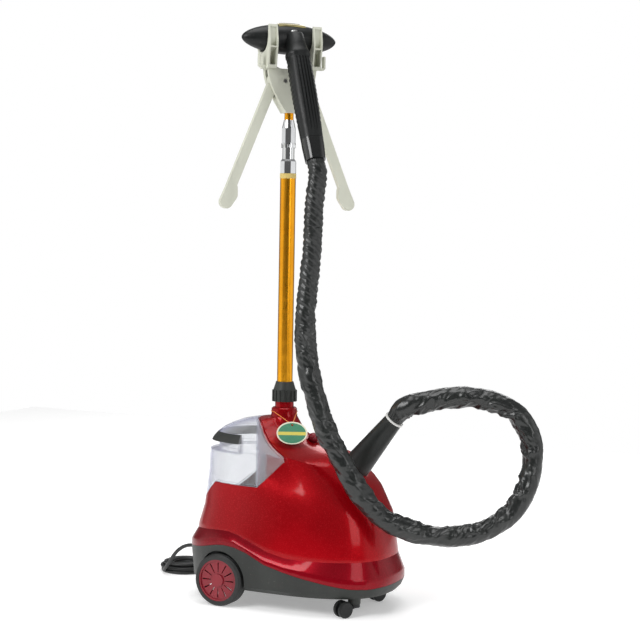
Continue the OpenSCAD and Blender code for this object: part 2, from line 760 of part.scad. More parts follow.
module cord_coil() {
    color("black") translate([coil_at.x, coil_at.y, 0]) rotate_extrude($fn = 64)
        for (i = [-1:1], k = [0:coil_layers - 1])
            translate([coil_mid_r + i * (cord_d - .05), cord_r + k * (cord_d - .05)]) circle(r = cord_r, $fn = 12);
}

module plug() {
    tail = plug_at.x - 12 - coil_at.x;
    color("black") translate(plug_at) rotate([0, 90, 0]) {
        translate([0, 0, -12 - tail]) cylinder(r = cord_r, h = tail + 1);
        translate([0, 0, -12]) cylinder(r1 = cord_r + .8, r2 = cord_r + 3, h = 12.5);
        cylinder(r1 = 8, r2 = 10, h = 12);
        translate([0, 0, 12]) cylinder(r = 10, h = 20);
        translate([0, 0, 31]) cylinder(r = 9, h = 3);
    }
    color("gold") for (s = [-1, 1])
        translate(plug_at + [33, s * 5 - .8, -3]) cube([17, 1.6, 6]);
}

// ---- Hose ----

module hose_lower() {
    top = cuff_length + ring_h;
    color("dimgray") sweep([each hose_route, cuff_base + (top + 22) * cuff_axis(), cuff_base + top * cuff_axis()],
        hose_d / 2, 12);
}

module hose_upper() {
    color("dimgray") sweep([handle_point(handle_length), handle_point(handle_length + 18), each hose_top_route],
        hose_d / 2, 12);
}

// ---- Pole ----

module pole_socket() {
    color("firebrick") on_pole() difference() {
        union() {
            translate([0, 0, socket_z]) cylinder(r = socket_neck_r, h = socket_top - socket_z);
            translate([0, 0, roof_z - 5]) cylinder(r = neck_r - seam, h = 5 - seam);
            translate([0, 0, roof_z - seam - .01]) rotate_extrude($fn = 64) polygon([
                [0, 0], [neck_r - seam, 0], [neck_r - seam, 3], [socket_ring_r, 5],
                [socket_ring_r, 13], [socket_ring_r - 2, 15], [0, 15]]);
        }
        translate([0, 0, tube_foot_z - fit]) cylinder(r = outer_r + fit, h = 400);
        translate([0, 0, socket_z + 5]) cylinder(r = 9, h = 400);
    }
}

module pole_collar() {
    color("dimgray") on_pole(socket_top + seam) difference() {
        union() {
            cylinder(r = collar_r - 1.6, h = 19);
            for (a = [0:360 / collar_ribs:359]) rotate([0, 0, a]) translate([collar_r - 4, -1.7, 0]) cube([4, 3.4, 18]);
            translate([0, 0, 19]) cylinder(r1 = collar_r - 2, r2 = outer_r + 1.5, h = collar_h - 19);
        }
        translate([0, 0, -1]) cylinder(r = outer_r + turn_gap, h = collar_h + 2);
    }
}

// Tube standing on its foot, both on the pole's axis
module pole_tube(r, low, high) {
    on_pole(low) ring(r, r - tube_wall, high - low);
}

module outer_tube() {
    color("goldenrod") pole_tube(outer_r, tube_foot_z, tube_top);
}

module tube_bush() {
    color("whitesmoke") on_pole(tube_top) difference() {
        union() {
            translate([0, 0, -bush_depth]) cylinder(r = outer_r - tube_wall - .01, h = bush_depth);
            cylinder(r = outer_r + .5, h = bush_ring_h);
            cylinder(r = outer_r - 1.3, h = bush_ring_h + 18);
        }
        translate([0, 0, -bush_depth - 1]) cylinder(r = mid_r + slide_gap, h = bush_depth + bush_ring_h + 30);
    }
}

module lower_lock_nut() {
    color("silver") on_pole(lower_nut_z + seam) difference() {
        union() {
            cylinder(d = lower_nut_d, h = lower_nut_h - 4, $fn = 8);
            translate([0, 0, lower_nut_h - 4]) cylinder(d1 = lower_nut_d - .5, d2 = lower_nut_d - 5, h = 3.5, $fn = 8);
        }
        translate([0, 0, -1]) cylinder(r = outer_r - 1.3 + turn_gap, h = 20);
        cylinder(r = mid_r + seam + .1, h = lower_nut_h + 1);
    }
}

module mid_tube() {
    color("silver") {
        pole_tube(mid_r, mid_foot_z, step_z + 2);
        on_pole(mid_foot_z) ring(outer_r - tube_wall - slide_gap, mid_r - tube_wall, foot_h);
    }
}

module mid_lock_body() {
    color("silver") on_pole(step_z) difference() {
        union() {
            translate([0, 0, -bush_depth]) cylinder(r = mid_r - tube_wall - .01, h = bush_depth + 2.5);
            translate([0, 0, 2]) cylinder(d = upper_nut_d, h = step_h - 2);
            for (a = [0:60:300]) rotate([0, 0, a]) translate([upper_nut_d / 2 - 1.5, 0, 2]) cylinder(r = 2.5, h = step_h - 4, $fn = 16);
            cylinder(r = mid_r - 1.2, h = step_h + 18);
        }
        translate([0, 0, -bush_depth - 1]) cylinder(r = top_r + slide_gap, h = bush_depth + 80);
    }
}

module upper_lock_nut() {
    color("silver") on_pole(upper_nut_z + seam) difference() {
        union() {
            cylinder(d = upper_nut_d, h = upper_nut_h, $fn = 8);
            translate([0, 0, upper_nut_h]) cylinder(d1 = upper_nut_d - 1.5, d2 = top_tube_d + 1.5, h = upper_cone_h - seam);
        }
        translate([0, 0, -1]) cylinder(r = mid_r - 1.2 + turn_gap, h = 20);
        cylinder(r = top_r + seam + .1, h = upper_nut_h + upper_cone_h + 1);
    }
}

module top_tube() {
    color("goldenrod") {
        pole_tube(top_r, top_foot_z, head_z + 30);
        on_pole(top_foot_z) ring(mid_r - tube_wall - slide_gap, top_r - tube_wall, foot_h);
    }
}

// ---- Hanger head ----

module on_head(z = 0) { translate([pole_x, 0, z]) rotate([0, 0, head_turn]) children(); }

// Shield outline, from its neck at z = 0 to its flat top
function shield_half(t) = shield_neck + (shield_w / 2 - shield_neck) * pow(sin(90 * t), 1.05);
function shield_side(w) = [for (t = [0:.1:1]) [max(shield_half(t) - w, 1), w + t * (shield_h - 2 * w)]];
function shield_outline(w) = [each shield_side(w), for (p = reversed(shield_side(w))) [-p.x, p.y]];

// Slab in the x-z plane from y = low to y = high
module upright(low, high) {
    translate([0, high, 0]) rotate([90, 0, 0]) linear_extrude(high - low) children();
}

module shield_half_shell(low, high, floor_low, floor_high) {
    difference() {
        upright(low, high) polygon(shield_outline(0));
        upright(floor_low, floor_high) polygon(shield_outline(head_wall));
        // room for the arms at the sides, and for the tube
        for (s = [-1, 1]) translate([s * 40, 0, 0]) translate([-16, -arm_t / 2 - arm_gap, 8])
            cube([32, arm_t + 2 * arm_gap, shield_h - 8 - head_wall]);
        translate([0, 0, -1]) cylinder(r = top_r + fit, h = 31);
        for (p = head_screw_places) translate([p.x, 0, p.y]) rotate([90, 0, 0]) cylinder(r = 1.7, h = shield_d + 2, center = true);
    }
}

module head_front() {
    color("gainsboro") on_head(head_z) difference() {
        union() {
            shield_half_shell(-shield_d / 2, -seam / 2, -shield_d / 2 + head_wall, 1);
            intersection() {
                upright(-shield_d / 2 + 1, -seam / 2) polygon(shield_outline(0));
                union() {
                    for (s = [-1, 1]) translate([s * pivot_x, 0, pivot_z - head_z]) rotate([90, 0, 0]) translate([0, 0, arm_t / 2 + arm_gap])
                        cylinder(r = 7, h = shield_d / 2 - arm_t / 2 - arm_gap - 1);
                    for (p = head_screw_places) translate([p.x, -seam / 2, p.y]) rotate([90, 0, 0])
                        cylinder(r = 3.5, h = shield_d / 2 - 1);
                    translate([0, 0, 2]) cylinder(r = top_r + 2.4, h = 30);
                }
            }
        }
        translate([0, 0, -1]) cylinder(r = top_r + fit, h = 34);
        for (p = head_screw_places) translate([p.x, 0, p.y]) rotate([90, 0, 0]) cylinder(r = 1.7, h = shield_d + 2, center = true);
    }
}

module head_back() {
    color("gainsboro") on_head(head_z) {
        difference() {
            union() {
                shield_half_shell(seam / 2, shield_d / 2, -1, shield_d / 2 - head_wall);
                intersection() {
                    upright(seam / 2, shield_d / 2 - 1) polygon(shield_outline(0));
                    union() {
                        for (p = head_screw_places) translate([p.x, shield_d / 2 - 1, p.y]) rotate([90, 0, 0])
                            cylinder(r = 3.5, h = shield_d / 2 - 1 - seam / 2);
                        for (s = [-1, 1]) translate([s * pivot_x, 0, pivot_z - head_z]) rotate([-90, 0, 0]) translate([0, 0, arm_t / 2 + arm_gap])
                            cylinder(r = 7, h = shield_d / 2 - arm_t / 2 - arm_gap - 1);
                        translate([0, 0, 2]) cylinder(r = top_r + 2.4, h = 30);
                    }
                }
            }
            translate([0, 0, -1]) cylinder(r = top_r + fit, h = 34);
            for (p = head_screw_places) translate([p.x, 0, p.y]) rotate([90, 0, 0]) cylinder(r = 1.7, h = shield_d + 2, center = true);
        }
        // pins the arms turn on
        for (s = [-1, 1]) translate([s * pivot_x, shield_d / 2 - 1, pivot_z - head_z]) rotate([90, 0, 0])
            cylinder(r = pivot_r, h = shield_d / 2 - 1 + arm_t / 2);
    }
}

module head_screws() {
    color("silver") on_head(head_z) for (p = head_screw_places) translate([p.x, -shield_d / 2 - .8, p.y]) rotate([-90, 0, 0]) {
        cylinder(r = 3, h = .75);
        cylinder(r = 1.6, h = 20);
    }
}

// A slot outline of length l and half width r, from the origin along x
module slot(l, r) {
    translate([0, -r]) square([l, 2 * r]);
    circle(r = r);
    translate([l, 0]) circle(r = r);
}

// One hanging arm, side = 1 left or -1 right, drooping outward from its pivot
module hanger_arm(side) {
    paddle_at = arm_length - 26;
    half = arm_w / 2;
    color("gainsboro") on_head(pivot_z) mirror([side > 0 ? 0 : 1, 0, 0]) translate([pivot_x, 0, 0])
        rotate([0, 90 - arm_droop, 0]) difference() {
            upright(-arm_t / 2, arm_t / 2) {
                circle(r = arm_hub_r);
                slot(paddle_at, half);
                hull() {
                    translate([paddle_at - 8, half - paddle_r + 2]) circle(r = paddle_r - 2);
                    translate([paddle_at + 2, half - paddle_r]) circle(r = paddle_r);
                    translate([arm_length - paddle_r + 1, half - paddle_r + 2]) circle(r = paddle_r - 1);
                }
            }
            // pockets in the back face
            upright(arm_t / 2 - 2.5, arm_t / 2 + 2.5) {
                for (x = [28, 70, 112]) translate([x, 0]) slot(32, half - 2.5);
                translate([paddle_at + 2, half - paddle_r]) circle(r = paddle_r - 3);
            }
            rotate([90, 0, 0]) cylinder(r = pivot_r + turn_gap, h = 2 * arm_t, center = true);
        }
}
module hanger_arm_left() { hanger_arm(1); }
module hanger_arm_right() { hanger_arm(-1); }

// ---- Cradle for the steam head ----

// Puts children in the nozzle's frame: x along it, origin on its axis
module on_nozzle() { on_head(nozzle_z) translate([0, nozzle_back, 0]) children(); }

// Side profile of a cradle arm in (depth, height) about the nozzle's axis, depth forward
module cradle_profile() {
    back = [cos(210), sin(210)];
    difference() {
        polygon([[nozzle_back + 20, cradle_foot], [cradle_r + 8, -12], [cradle_r + 8, -4], [cradle_r + 3.5, cradle_tip],
                 [cradle_r + .7, cradle_tip], [cradle_r + .7, 0], [0, 0], (cradle_r - 1) * back, (cradle_r + 3) * back,
                 [nozzle_back - 12, cradle_foot]]);
        circle(r = cradle_r);
    }
}

// Channel down the front of a cradle arm, between two heights
module cradle_channel(low, high) {
    r = cradle_r + 2.4;
    polygon([[70, low], [70, high], for (i = [0:8]) let (h = mix(high, low, i / 8))
        [max(nozzle_back + 5, h > 0 ? r : sqrt(max(0, r * r - h * h))), h]]);
}

// One cradle arm, side = 1 left or -1 right, with its garment hook and gusset
module cradle(side) {
    out = cradle_x + cradle_w / 2;
    color("gainsboro") {
        on_nozzle() translate([side * cradle_x, 0, 0]) difference() {
            rotate([90, 0, -90]) linear_extrude(cradle_w, center = true) cradle_profile();
            rotate([90, 0, -90]) linear_extrude(cradle_w - 4.6, center = true) {
                cradle_channel(cradle_foot + 5, cradle_foot / 2 + 7.5);
                cradle_channel(cradle_foot / 2 + 10, cradle_tip - 4);
            }
        }
        // gusset towards the middle
        on_head(shield_top) upright(-4, 4)
            polygon([[side * (out - 1), .5], for (a = [0:15:90]) [side * (cradle_x - 25 + 22 * sin(a)), 22 - 21.5 * cos(a)],
                     [side * (out - 1), 22]]);
        // hook for a hanger, outside the arm
        on_head(shield_top) upright(-12, -4)
            polygon([[side * (out - 1), .5], [side * (out + hook_w - 3), .5], [side * (out + hook_w), 3.5],
                     [side * (out + hook_w), hook_h - 1], [side * (out + hook_w - 1.5), hook_h],
                     [side * (out + hook_w - 3), hook_h - 1], [side * (out + hook_w - 3), 4.5], [side * (out - 1), 4]]);
    }
}
module cradle_left() { cradle(1); }
module cradle_right() { cradle(-1); }

// ---- Steam head ----

// The nozzle's rounded body, drawn in by g
module nozzle_body(g) {
    rotate([0, 90, 0]) rotate_extrude($fn = 56) polygon([for (a = [-90:7.5:90])
        [a * a == 8100 ? 0 : (nozzle_r - g) * pow(cos(a), 2 * nozzle_power), (nozzle_length / 2 - g) * sin(a)]]);
}

// Turns children about the nozzle's axis so that up faces an angle above straight ahead
module facing(a) { rotate([90 - a, 0, 0]) children(); }

// Puts children on the handle's axis, which runs down and forward from the nozzle
module on_handle(s = 0) {
    on_nozzle() rotate([-handle_slope, 0, 0]) translate([0, -handle_off, -s]) children();
}
function head_turned(p) = [pole_x + p.x * cos(head_turn) - p.y * sin(head_turn),
                           p.x * sin(head_turn) + p.y * cos(head_turn), p.z];
function handle_point(s) = head_turned([0,
    nozzle_back - handle_off * cos(handle_slope) - s * sin(handle_slope),
    nozzle_z + handle_off * sin(handle_slope) - s * cos(handle_slope)]);

module handle_shape(sections, g) {
    loft([for (q = reversed(sections)) [for (j = [0:27]) let (a = 360 * j / 28)
        [(q[1] - g) * power(cos(a), .8), (q[2] - g) * power(sin(a), .8), -q[0]]]]);
}

module above(z) { translate([-200, -200, z]) cube([400, 400, 200]); }

module nozzle_housing() {
    color("black") on_nozzle() difference() {
        nozzle_body(0);
        difference() {
            nozzle_body(nozzle_wall);
            rotate([-handle_slope, 0, 0]) translate([0, -handle_off, -20]) cylinder(r = handle_bore + 3, h = 28);
        }
        rotate([-plate_lean, 0, 0]) {
            above(plate_h);
            intersection() { nozzle_body(nozzle_wall - 1); above(plate_h - plate_t); }
        }
        rotate([-handle_slope, 0, 0]) translate([0, -handle_off, -60]) cylinder(r = pipe_r + fit, h = 64);
    }
}

module steam_plate() {
    color("silver") on_nozzle() rotate([-plate_lean, 0, 0]) difference() {
        intersection() {
            nozzle_body(nozzle_wall - 1 + fit);
            difference() { above(plate_h - plate_t); above(plate_h + .6); }
        }
        for (y = [-8, 0, 8], x = [-40:10:40]) translate([x + y / 2, y, 0]) cylinder(r = 1.3, h = 30, $fn = 16);
    }
}

// A strip on the nozzle's face: its turn, length, width and thickness
module strip(a, l, w, t) {
    on_nozzle() intersection() {
        difference() { nozzle_body(-t); nozzle_body(0); }
        facing(a) translate([-l / 2, -w / 2, nozzle_r / 2]) cube([l, w, nozzle_r]);
    }
}
module nozzle_trim() { color("goldenrod") strip(67.5, 46, 10.4, 1.2); }
module brush_strip() { color("black") strip(92, 34, 6.5, 2); }

// One half of the grip, face = 1 for the front and -1 for the back
module handle_half(face) {
    color("black") difference() {
        on_handle() difference() {
            union() {
                difference() {
                    handle_shape(grip_sections, 0);
                    intersection() {
                        handle_shape(grip_core, grip_wall - 1);
                        translate([-50, -50, -handle_length]) cube([100, 100, handle_length - 9]);
                    }
                }
                intersection() {
                    handle_shape(grip_core, .6);
                    union() {
                        // ribs that hold the pipe, and bosses for the screws
                        for (s = [16, 60, 120, 175]) translate([-50, -50, -s]) cube([100, 100, 2.5]);
                        for (s = handle_screw_places, x = [-11.5, 11.5]) translate([x, 0, -s])
                            rotate([90, 0, 0]) cylinder(r = 3, h = 60, center = true);
                    }
                }
            }
            translate([0, face * (50 - seam / 2), -150]) cube([100, 100, 400], center = true);
            // grooves down the front
            for (x = grip_grooves) translate([x - .9, -40, -cap_start + 12])
                cube([1.8, 40 - 15.9 + abs(x) / 8, cap_start - 62]);
            translate([0, 0, -300]) cylinder(r = pipe_r + fit, h = 400);
            for (s = handle_screw_places, x = [-11.5, 11.5]) translate([x, 40, -s]) rotate([90, 0, 0]) {
                cylinder(r = 1.6, h = 49);
                cylinder(r = 2.6, h = 29);
            }
        }
        on_nozzle() nozzle_body(-fit);
    }
}
module handle_front() { handle_half(1); }
module handle_back() { handle_half(-1); }

module handle_screws() {
    color("silver") on_handle() for (s = handle_screw_places, x = [-11.5, 11.5]) translate([x, 13, -s]) rotate([90, 0, 0]) {
        cylinder(r = 2.5, h = 2);
        cylinder(r = 1.5, h = 20);
    }
}

module handle_cap() {
    color("black") on_handle() difference() {
        handle_shape(cap_sections, 0);
        translate([0, 0, -handle_length + 4]) cylinder(r = pipe_r + fit, h = 100);
    }
}

module handle_pipe() {
    color("silver") on_handle() translate([0, 0, -handle_length + 4.1]) ring(pipe_r, pipe_r - 1.5, handle_length - 2);
}

// ---- Knob and hang tag ----

module power_knob() {
    color("firebrick") translate(knob_at) {
        translate([0, 0, -22]) cylinder(r = knob_shaft_r, h = 24);
        translate([0, 0, seam]) rotate_extrude($fn = 40) polygon([[0, 0], [knob_r - 2, 0],
            for (a = [-50:12.5:90]) [a == 90 ? 0 : knob_r * cos(a), knob_r * (sin(a) + sin(50))]]);
        translate([-knob_r - .5, -1, 4]) cube([6, 2, 4]);
    }
}

module on_tag() { translate(tag_at) rotate([0, 0, tag_turn]) rotate([90 - tag_lean, 0, 0]) children(); }

module hang_tag() {
    color("green") on_tag() difference() {
        linear_extrude(tag_size.z, center = true)
            polygon([for (a = [0:9:351]) [tag_size.x / 2 * cos(a), tag_size.y / 2 * sin(a)]]);
        translate([0, tag_hole, -3]) cylinder(r = 2, h = 6);
    }
}

module tag_string() {
    r = socket_ring_r + string_r;
    hole = tag_at + tag_hole * [-sin(tag_turn) * sin(tag_lean), cos(tag_turn) * sin(tag_lean), cos(tag_lean)];
    away = norm([hole.x - pole_x, hole.y]);
    color("orange") {
        on_pole(string_z) rotate_extrude($fn = 48) translate([r, 0]) circle(r = string_r, $fn = 8);
        for (side = [-1, 1]) let (a = atan2(hole.y, hole.x - pole_x) + side * acos(r / away))
            sweep([[pole_x + r * cos(a), r * sin(a), string_z], hole], string_r, 8);
    }
}

// ---- Wheels ----

// Puts children at a rear wheel's inner face with z outward, side = 1 left or -1 right
module on_wheel(side) {
    translate([-wheel_back, side * wheel_in, wheel_r]) rotate([-side * 90, 0, 0]) children();
}

module tyre(side) {
    color("dimgray") on_wheel(side) rotate_extrude($fn = 72) polygon([
        [rim_r, .5], [wheel_r - 3, .5], [wheel_r, 4], [wheel_r, 7], [wheel_r - 1.2, 8], [wheel_r, 9],
        [wheel_r, wheel_w - 9], [wheel_r - 1.2, wheel_w - 8], [wheel_r, wheel_w - 7],
        [wheel_r, wheel_w - 4], [wheel_r - 3, wheel_w], [rim_r, wheel_w]]);
}
module tyre_left() { tyre(1); }
module tyre_right() { tyre(-1); }

module wheel(side) {
    hub_r = 10;
    head = axle_reach - 1.5 - wheel_in;
    color("firebrick") on_wheel(side) difference() {
        union() {
            translate([0, 0, .5]) ring(rim_r, rim_r - 2.5, wheel_w - 1.5);
            translate([0, 0, wheel_w - 6]) cylinder(r = rim_r - 1, h = 2.5);
            translate([0, 0, .5]) cylinder(r = hub_r, h = wheel_w - 1.5);
        }
        // slits through the outer face
        for (i = [1:slits]) rotate([0, 0, 360 * i / slits]) translate([hub_r + 3, 0, wheel_w - 8])
            linear_extrude(6) polygon([[0, -.6], [rim_r - hub_r - 8, -1.1], [rim_r - hub_r - 8, 1.1], [0, .6]]);
        translate([0, 0, -1]) cylinder(r = axle_d / 2 + turn_gap, h = wheel_w - 2);
        translate([0, 0, head - .5]) cylinder(r = axle_d / 2 + 3, h = axle_reach + .5 - wheel_in - head);
    }
}
module wheel_left() { wheel(1); }
module wheel_right() { wheel(-1); }

// Puts children at a caster's stem with x along its trail
module on_caster(side) {
    translate([caster_ahead, side * caster_side, 0]) rotate([0, 0, caster_yaw]) children();
}

module caster_fork(side) {
    web = disc_gap - 2 * side_gap;
    color("black") on_caster(side) difference() {
        union() {
            translate([0, 0, 14]) cylinder(r = boss_r - 1, h = boss_z - side_gap - 14);
            translate([0, 0, 14]) cylinder(r = stem_r, h = boss_z + 14 - 14);
            upright(-web / 2, web / 2) {
                translate([-caster_trail, caster_r]) circle(r = caster_axle_r + 4);
                polygon([[-caster_trail - 5, 9.5], [-caster_trail + 3, 7.6], [6, 14], [8, boss_z - side_gap],
                         [-boss_r - .5, boss_z - side_gap], [-boss_r - 2, 23], [-caster_trail - 4, 23], [-caster_trail - 6, 18]]);
            }
        }
        translate([-caster_trail, 0, caster_r]) rotate([90, 0, 0])
            cylinder(r = caster_axle_r + turn_gap, h = disc_gap + 2, center = true);
    }
}
module caster_fork_left() { caster_fork(1); }
module caster_fork_right() { caster_fork(-1); }

module caster_wheels(side) {
    color("dimgray") on_caster(side) translate([-caster_trail, 0, caster_r]) rotate([90, 0, 0]) {
        cylinder(r = caster_axle_r, h = disc_gap + 2, center = true);
        for (face = [-1, 1]) rotate([90 - 90 * face, 0, 0]) rotate_extrude() polygon([
            [0, disc_gap / 2], [caster_r - 1, disc_gap / 2], [caster_r, disc_gap / 2 + 1],
            [caster_r, disc_gap / 2 + disc_w - 2], [caster_r - 2, disc_gap / 2 + disc_w], [0, disc_gap / 2 + disc_w]]);
    }
}
module caster_wheels_left() { caster_wheels(1); }
module caster_wheels_right() { caster_wheels(-1); }

// ---- Output ----

base_pan();
skirt();
upper_housing();
tank_bay();
pole_socket();
outer_tube();
tube_bush();
wheel_axle();
boiler();
thermostat();
feed_tube();
steam_pipe();
hose_connector();
connector_ring();
switch_block();
cord_gland();
base_screws();
hang_tag();
tag_string();
hose_lower();
power_cord();
cord_coil();
plug();
pole_collar();
lower_lock_nut();
mid_tube();
mid_lock_body();
upper_lock_nut();
top_tube();
head_front();
head_back();
cradle_left();
cradle_right();
head_screws();
hanger_arm_left();
hanger_arm_right();
nozzle_housing();
steam_plate();
nozzle_trim();
brush_strip();
handle_front();
handle_back();
handle_cap();
handle_pipe();
handle_screws();
hose_upper();
water_tank();
tank_cover();
tank_handle();
tank_cap();
valve_pin();
power_knob();
tyre_left();
tyre_right();
wheel_left();
wheel_right();
caster_fork_left();
caster_fork_right();
caster_wheels_left();
caster_wheels_right();
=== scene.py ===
import bpy
import math
import numpy as np
from mathutils import Matrix, Vector


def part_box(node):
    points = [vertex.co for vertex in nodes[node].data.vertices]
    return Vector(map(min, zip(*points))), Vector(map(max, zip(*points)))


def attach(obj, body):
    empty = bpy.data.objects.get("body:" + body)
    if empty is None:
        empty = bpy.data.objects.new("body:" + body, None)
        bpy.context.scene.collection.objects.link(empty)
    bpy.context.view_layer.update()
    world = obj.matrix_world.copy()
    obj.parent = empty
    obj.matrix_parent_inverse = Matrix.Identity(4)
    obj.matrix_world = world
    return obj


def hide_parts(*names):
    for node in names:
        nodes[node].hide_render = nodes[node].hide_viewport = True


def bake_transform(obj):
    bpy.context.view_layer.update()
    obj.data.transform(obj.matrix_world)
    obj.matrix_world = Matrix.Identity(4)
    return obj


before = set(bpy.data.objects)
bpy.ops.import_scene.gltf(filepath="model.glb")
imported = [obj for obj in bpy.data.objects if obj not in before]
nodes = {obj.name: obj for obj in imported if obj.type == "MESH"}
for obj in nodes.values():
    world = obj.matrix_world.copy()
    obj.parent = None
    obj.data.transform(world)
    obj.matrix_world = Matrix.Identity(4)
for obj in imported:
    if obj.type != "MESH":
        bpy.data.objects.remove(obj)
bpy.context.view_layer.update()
print("frame loaded:", len(nodes), "nodes")

# turn is the angle round the machine from its near side, lean how far the picture tips
viewpoint = dict(turn=26.0, distance=2.6, height=0.614, aimHeight=0.451, aimSide=0.030, lean=1.0, lens=91.4,
                 sensor=36, near=0.05, far=40)


def placeCamera(v):
    turn, lean = math.radians(v["turn"]), math.radians(v["lean"])
    across = Vector((math.cos(turn), math.sin(turn), 0))
    out = Vector((math.sin(turn), -math.cos(turn), 0))
    aim = across * v["aimSide"] + Vector((0, 0, v["aimHeight"]))
    place = across * v["aimSide"] + out * v["distance"] + Vector((0, 0, v["height"]))
    back = (place - aim).normalized()
    right = Vector((0, 0, 1)).cross(back).normalized()
    up = back.cross(right)
    x = right * math.cos(lean) + up * math.sin(lean)
    y = up * math.cos(lean) - right * math.sin(lean)
    data = bpy.data.cameras.new("camera")
    data.lens, data.sensor_width = v["lens"], v["sensor"]
    data.clip_start, data.clip_end = v["near"], v["far"]
    camera = bpy.data.objects.new("camera", data)
    bpy.context.scene.collection.objects.link(camera)
    camera.matrix_world = Matrix((
        (x[0], y[0], back[0], place[0]), (x[1], y[1], back[1], place[1]),
        (x[2], y[2], back[2], place[2]), (0, 0, 0, 1)))
    bpy.context.scene.camera = camera


placeCamera(viewpoint)
print("camera placed")


# surfaces


def runAlong(points):
    # the distance gone at each point of a line
    return np.concatenate([[0], np.cumsum(np.linalg.norm(np.diff(points, axis=0), axis=1))])


def eased(x):
    # from 0 to 1 with a soft start and end
    x = np.clip(x, 0, 1)
    return x * x * (3 - 2 * x)


def smoothLine(points, step):
    # a natural cubic spline over the distance between the points, read again at even steps along it
    p = np.array(points, float)
    s = runAlong(p)
    h, n = np.diff(s), len(p)
    a = np.zeros((n, n))
    a[0, 0] = a[-1, -1] = 1
    inner = np.arange(1, n - 1)
    a[inner, inner - 1], a[inner, inner], a[inner, inner + 1] = h[:-1], 2 * (h[:-1] + h[1:]), h[1:]
    b = np.zeros((n, 3))
    b[1:-1] = 6 * (np.diff(p[1:], axis=0) / h[1:, None] - np.diff(p[:-1], axis=0) / h[:-1, None])
    m = np.linalg.solve(a, b)
    t = np.linspace(0, s[-1], 40 * n)
    k = np.clip(np.searchsorted(s, t, side="right") - 1, 0, n - 2)
    d, e, w = (t - s[k])[:, None], (s[k + 1] - t)[:, None], h[k][:, None]
    fine = (m[k] * e ** 3 + m[k + 1] * d ** 3) / (6 * w)
    fine = fine + (p[k] / w - m[k] * w / 6) * e + (p[k + 1] / w - m[k + 1] * w / 6) * d
    return evenLine(fine, step)


def evenLine(fine, step):
    # the same line read at even distances along it
    run = runAlong(fine)
    at = np.linspace(0, run[-1], max(2, int(round(run[-1] / step)) + 1))
    return np.stack([np.interp(at, run, fine[:, i]) for i in range(3)], 1)


def lineLength(line):
    return float(np.linalg.norm(np.diff(line, axis=0), axis=1).sum())


def carriedFrames(line):
    # a direction across the line, carried from ring to ring without turning about it, and its partner
    along = np.gradient(line, axis=0)
    along /= np.linalg.norm(along, axis=1)[:, None]
    side = np.cross(along[0], (0.0, 0, 1))
    if np.linalg.norm(side) < 0.1:
        side = np.cross(along[0], (1.0, 0, 0))
    sides = []
    for t in along:
        side = side - t * np.dot(side, t)
        side = side / np.linalg.norm(side)
        sides.append(side)
    sides = np.array(sides)
    return along, sides, np.cross(along, sides)


def ringWays(across, up, sides):
    # way(a) = cos a across + sin a up, for each side of each ring
    a = np.linspace(0, 2 * np.pi, sides, endpoint=False)
    return across[:, None] * np.cos(a)[:, None] + up[:, None] * np.sin(a)[:, None]


def tube(line, radius, sides):
    # point(s, a) = line(s) + radius(s, a) way(a)
    _, across, up = carriedFrames(line)
    r = radius if np.ndim(radius) == 2 else np.broadcast_to(np.reshape(radius, (-1, 1)), (len(line), sides))
    return line[:, None] + r[..., None] * ringWays(across, up, sides)


def gridPiece(name, grid, closed=True):
    # rows and columns of points joined by four-sided faces; closed joins the last column to the first
    # and caps both ends
    rows, columns = grid.shape[:2]
    index = np.arange(rows * columns).reshape(rows, columns)
    nextColumn = np.roll(index, -1, 1) if closed else index[:, 1:]
    thisColumn = index if closed else index[:, :-1]
    quads = np.stack([thisColumn[:-1], nextColumn[:-1], nextColumn[1:], thisColumn[1:]], -1).reshape(-1, 4)
    points = grid.reshape(-1, 3)
    faces = quads.tolist()
    if closed:
        points = np.concatenate([points, [grid[0].mean(0), grid[-1].mean(0)]])
        low, high = rows * columns, rows * columns + 1
        faces += [[low, int(index[0, (i + 1) % columns]), int(index[0, i])] for i in range(columns)]
        faces += [[high, int(index[-1, i]), int(index[-1, (i + 1) % columns])] for i in range(columns)]
    mesh = bpy.data.meshes.new(name)
    mesh.from_pydata(points.tolist(), [], faces)
    run = runAlong(grid.mean(1))
    girth = float(np.linalg.norm(np.roll(grid, -1, 1) - grid, axis=2).sum(1).mean())
    u = np.repeat(run[:, None], columns + 1, 1)
    v = np.repeat(np.linspace(0, girth, columns + 1)[None], rows, 0)
    uv = np.stack([u, v], -1)
    count = quads.shape[0]
    layer = mesh.uv_layers.new(name="cloth")
    flat = np.zeros((len(mesh.loops), 2), np.float32)
    width = columns if closed else columns - 1
    r, c = np.divmod(np.arange(count), width)
    corners = np.stack([uv[r, c], uv[r, c + 1], uv[r + 1, c + 1], uv[r + 1, c]], 1).reshape(-1, 2)
    flat[:count * 4] = corners
    layer.data.foreach_set("uv", flat.ravel())
    mesh.polygons.foreach_set("use_smooth", [True] * len(mesh.polygons))
    mesh.update()
    piece = bpy.data.objects.new(name, mesh)
    bpy.context.scene.collection.objects.link(piece)
    return piece


def gradientNoise(p, seed):
    # smooth noise in space: a random slope at each corner of a cell, blended across the cell
    rng = np.random.default_rng(seed)
    table = rng.permutation(256)
    slopes = rng.normal(size=(256, 3))
    slopes /= np.linalg.norm(slopes, axis=1)[:, None]
    cell = np.floor(p).astype(int)
    f = p - cell
    w = f * f * f * (f * (f * 6 - 15) + 10)
    total = np.zeros(p.shape[:-1])
    for corner in range(8):
        o = np.array([corner & 1, corner >> 1 & 1, corner >> 2 & 1])
        c = (cell + o) & 255
        g = slopes[table[(table[(table[c[..., 0]] + c[..., 1]) & 255] + c[..., 2]) & 255]]
        share = np.prod(np.where(o, w, 1 - w), -1)
        total += share * ((f - o) * g).sum(-1)
    return total


